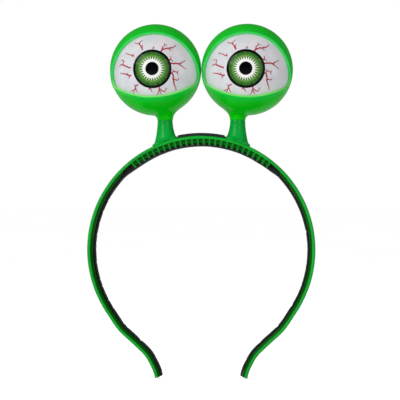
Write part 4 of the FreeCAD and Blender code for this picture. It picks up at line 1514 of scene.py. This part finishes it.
def led_material():
    m = Material("led_epoxy_lens")
    v = m.coords()
    cloud = m.noise(v, scale=300.0)
    colour = m.mix(m.remap(cloud, between=(0.3, 0.7)), srgb(226, 240, 228), srgb(244, 250, 240))
    normal = m.bump(m.noise(v, scale=900.0, detail=2.0), strength=0.05, distance=0.00005)
    m.set(Base_Color=colour, Emission_Color=colour, Normal=normal,
          Roughness=m.remap(cloud, between=(0.3, 0.7), to=(0.06, 0.14)),
          Emission_Strength=1.5, Transmission_Weight=0.4, IOR=1.5)
    return m


# painted shade: dark green at grazing angles and on the band's head side
band_green = moulded(
    "green_band_plastic", base=srgb(26, 182, 55), dark=srgb(16, 170, 47), light=srgb(64, 204, 88),
    rough=0.30, coat=0.05, grain=0.2, wear=0.1, inner_shade=srgb(0, 88, 2),
    facing=(srgb(0, 58, 4), 0.9, 1.4))
post_green = moulded(
    "green_post_plastic", base=srgb(4, 178, 64), dark=srgb(2, 164, 54), light=srgb(60, 205, 108),
    rough=0.26, coat=0.1, grain=0.2, wear=0.1)
# painted rim highlight at grazing angles, and a painted glow
ball_green = moulded("green_ball_shell", wear=0.05, facing=(BALL_RIM_HIGHLIGHT, 0.28, 3.0), emit=0.09,
                     **BALL_LOOK)
lid_green = lid_material()
eye_white = eye_white_material()
vein_ink = vein_material()
iris_ink = iris_material()
cloth = cloth_material()
charcoal = moulded(
    "charcoal_plastic_grain", base=srgb(50, 53, 59), dark=srgb(40, 42, 47), light=srgb(96, 98, 104),
    rough=0.52, coat=0.0, grain=0.5, wear=0.35)
button_green = moulded(
    "button_plastic", base=srgb(20, 140, 50), dark=srgb(14, 126, 42), light=srgb(90, 200, 110),
    rough=0.42, coat=0.1, grain=0.35, wear=0.4)
steel = metal("zinc_screw_steel", srgb(198, 198, 194), rough=0.3)
spring = metal("bright_spring_steel", srgb(186, 188, 190), rough=0.24)
cell_can = metal("nickel_cell_can", srgb(205, 204, 198), rough=0.22, stretch=(24, 1, 1))
board = board_material()
led = led_material()
epoxy = moulded(
    "black_epoxy", base=srgb(22, 22, 24), dark=srgb(14, 14, 16), light=srgb(60, 60, 64),
    rough=0.38, coat=0.1, grain=0.4, wear=0.2)
insulation = moulded(
    "wire_insulation", base=srgb(24, 24, 26), dark=srgb(16, 16, 18), light=srgb(70, 70, 74),
    rough=0.45, coat=0.0, grain=0.3, wear=0.2)


def assign(ob, look):
    ob.data.materials.clear()
    ob.data.materials.append(look.material)


EYE_LOOKS = (lid_green, ball_green, eye_white, iris_ink, vein_ink)      # as in EYE_PARTS
assign(crown, band_green)
for arm, liner, post, parts in zip(arms, liners, posts, eyes):
    assign(arm, band_green)
    assign(liner, cloth)
    assign(post, post_green)
    for part, look in zip(parts, EYE_LOOKS):
        assign(part, look)
for ob, look in ((pad, cloth), (cover, charcoal), (door, ball_green), (button, button_green)):
    assign(ob, look)

# CAD pieces kept as they are, by material
CAD_LOOKS = [
    (insulation, ("crown_wires", "led_leads_left", "led_leads_right")),
    (steel, ("stem_screws", "board_screws_left", "board_screws_right", "door_screw")),
    (spring, ("neck_spring_left", "neck_spring_right", "contact_spring", "contact_plate")),
    (board, ("led_board_left", "led_board_right")),
    (epoxy, ("flasher_chip", "tact_switch")),
    (led, ("leds_left", "leds_right")),
    (charcoal, ("battery_tray",)),
    (cell_can, ("button_cells",)),
]
for look, names in CAD_LOOKS:
    for name in names:
        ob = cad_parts[name]
        if not ob.material_slots:
            ob.data.materials.append(look.material)
        for slot in ob.material_slots:
            slot.material = look.material

# =================================================================== floor
FLOOR_GAP = 0.6                                     # floor below the lowest CAD point
FLOOR_RADII = (300.0, 800.0, 2000.0, 6000.0, 20000.0)
FLOOR_SEG = 48


def build_floor():
    """A pale, flat disc, wide enough for every view."""
    z = CAD_BOX[0][2] / MM - FLOOR_GAP
    verts = [(0.0, 0.0, z)]
    for r in FLOOR_RADII:
        verts += [(r * math.cos(a), r * math.sin(a), z) for a in turn(FLOOR_SEG)]
    faces = [(0, 1 + j, 1 + (j + 1) % FLOOR_SEG) for j in range(FLOOR_SEG)]
    faces += [tuple(1 + k for k in face) for face in grid_faces(len(FLOOR_RADII), FLOOR_SEG)]
    return new_mesh("floor", verts, faces)


def floor_material():
    """Pale grey that glows only to the camera."""
    m = Material("pale_floor")
    drift = m.remap(m.noise(m.coords(), scale=6.0), between=(0.3, 0.7))
    colour = m.mix(drift, (0.90, 0.90, 0.90, 1.0), (0.93, 0.93, 0.93, 1.0))
    seen = m.add("ShaderNodeLightPath").outputs["Is Camera Ray"]
    m.set(Base_Color=colour, Emission_Color=colour, Emission_Strength=m.times(seen, 0.72),
          Roughness=0.9, Specular_IOR_Level=0.1)
    return m


floor = build_floor()
assign(floor, floor_material())


# =================================================================== world, lights and camera
def build_world():
    """White surroundings, brighter towards -X and dimmer in reflections."""
    world = scene.world or bpy.data.worlds.new("World")
    scene.world = world
    world.use_nodes = True
    n = Nodes(world.node_tree)
    background = n.tree.nodes.get("Background") or n.add("ShaderNodeBackground")
    background.inputs[0].default_value = (1.0, 1.0, 1.0, 1.0)
    ray = n.add("ShaderNodeLightPath").outputs
    across = n.split(n.add("ShaderNodeTexCoord").outputs["Generated"])["X"]

    def switch(factor, a, b):
        node = n.add("ShaderNodeMix")
        for socket, value in ((0, factor), (2, a), (3, b)):
            n.feed(node.inputs[socket], value)
        return node.outputs[0]

    fill = n.remap(across, between=(-0.9, 0.9), to=(0.60, 0.16))
    strength = switch(ray["Is Glossy Ray"], fill, 0.10)
    # plain white where the lens sees past the floor
    n.feed(background.inputs[1], switch(ray["Is Camera Ray"], strength, 1.0))


def aim(ob, location, target):
    ob.location = location
    ob.rotation_euler = (Vector(target) - Vector(location)).to_track_quat("-Z", "Y").to_euler()


def area(name, location, size, power, target=(0, 0, 0.03)):
    """A rectangular light; places and sizes in metres, power in watts."""
    light = bpy.data.lights.new(name, "AREA")
    light.shape = "RECTANGLE"
    light.size, light.size_y = size
    light.energy = power
    ob = bpy.data.objects.new(name, light)
    aim(ob, location, target)
    scene.collection.objects.link(ob)
    return ob


build_world()
area("key", location=(-0.62, -0.80, 0.50), size=(0.5, 0.5), power=5.0)
area("fill", location=(0.55, -0.85, 0.22), size=(0.5, 0.5), power=1.6)
area("top", location=(-0.1, 0.1, 0.95), size=(0.6, 0.4), power=0.15, target=(0, 0, 0.05))
back = area("back", location=(0.35, 0.85, 0.35), size=(0.6, 0.5), power=1.6)
back.visible_glossy = False

# in metres
CAMERA_DISTANCE = 1.0
CAMERA_TURN = math.radians(2.8)             # round towards +X from straight in front
CAMERA_TARGET = Vector((-0.0008, 0.0, 0.029))
VIEW_WIDTH = 0.232                          # width seen by the lens, VIEW_NEAR before the target
VIEW_NEAR = 0.007
SENSOR_WIDTH = 36.0                         # mm


def build_camera():
    data = bpy.data.cameras.new("camera")
    ob = bpy.data.objects.new("camera", data)
    scene.collection.objects.link(ob)
    offset = Vector((math.sin(CAMERA_TURN) * CAMERA_DISTANCE,
                     -math.cos(CAMERA_TURN) * CAMERA_DISTANCE, 0.0))
    aim(ob, CAMERA_TARGET + offset, CAMERA_TARGET)
    data.sensor_width = SENSOR_WIDTH
    data.lens = SENSOR_WIDTH * (CAMERA_DISTANCE - VIEW_NEAR) / VIEW_WIDTH
    data.clip_start = 0.01
    scene.camera = ob


build_camera()
scene.view_settings.view_transform = "Standard"
scene.view_settings.look = "None"
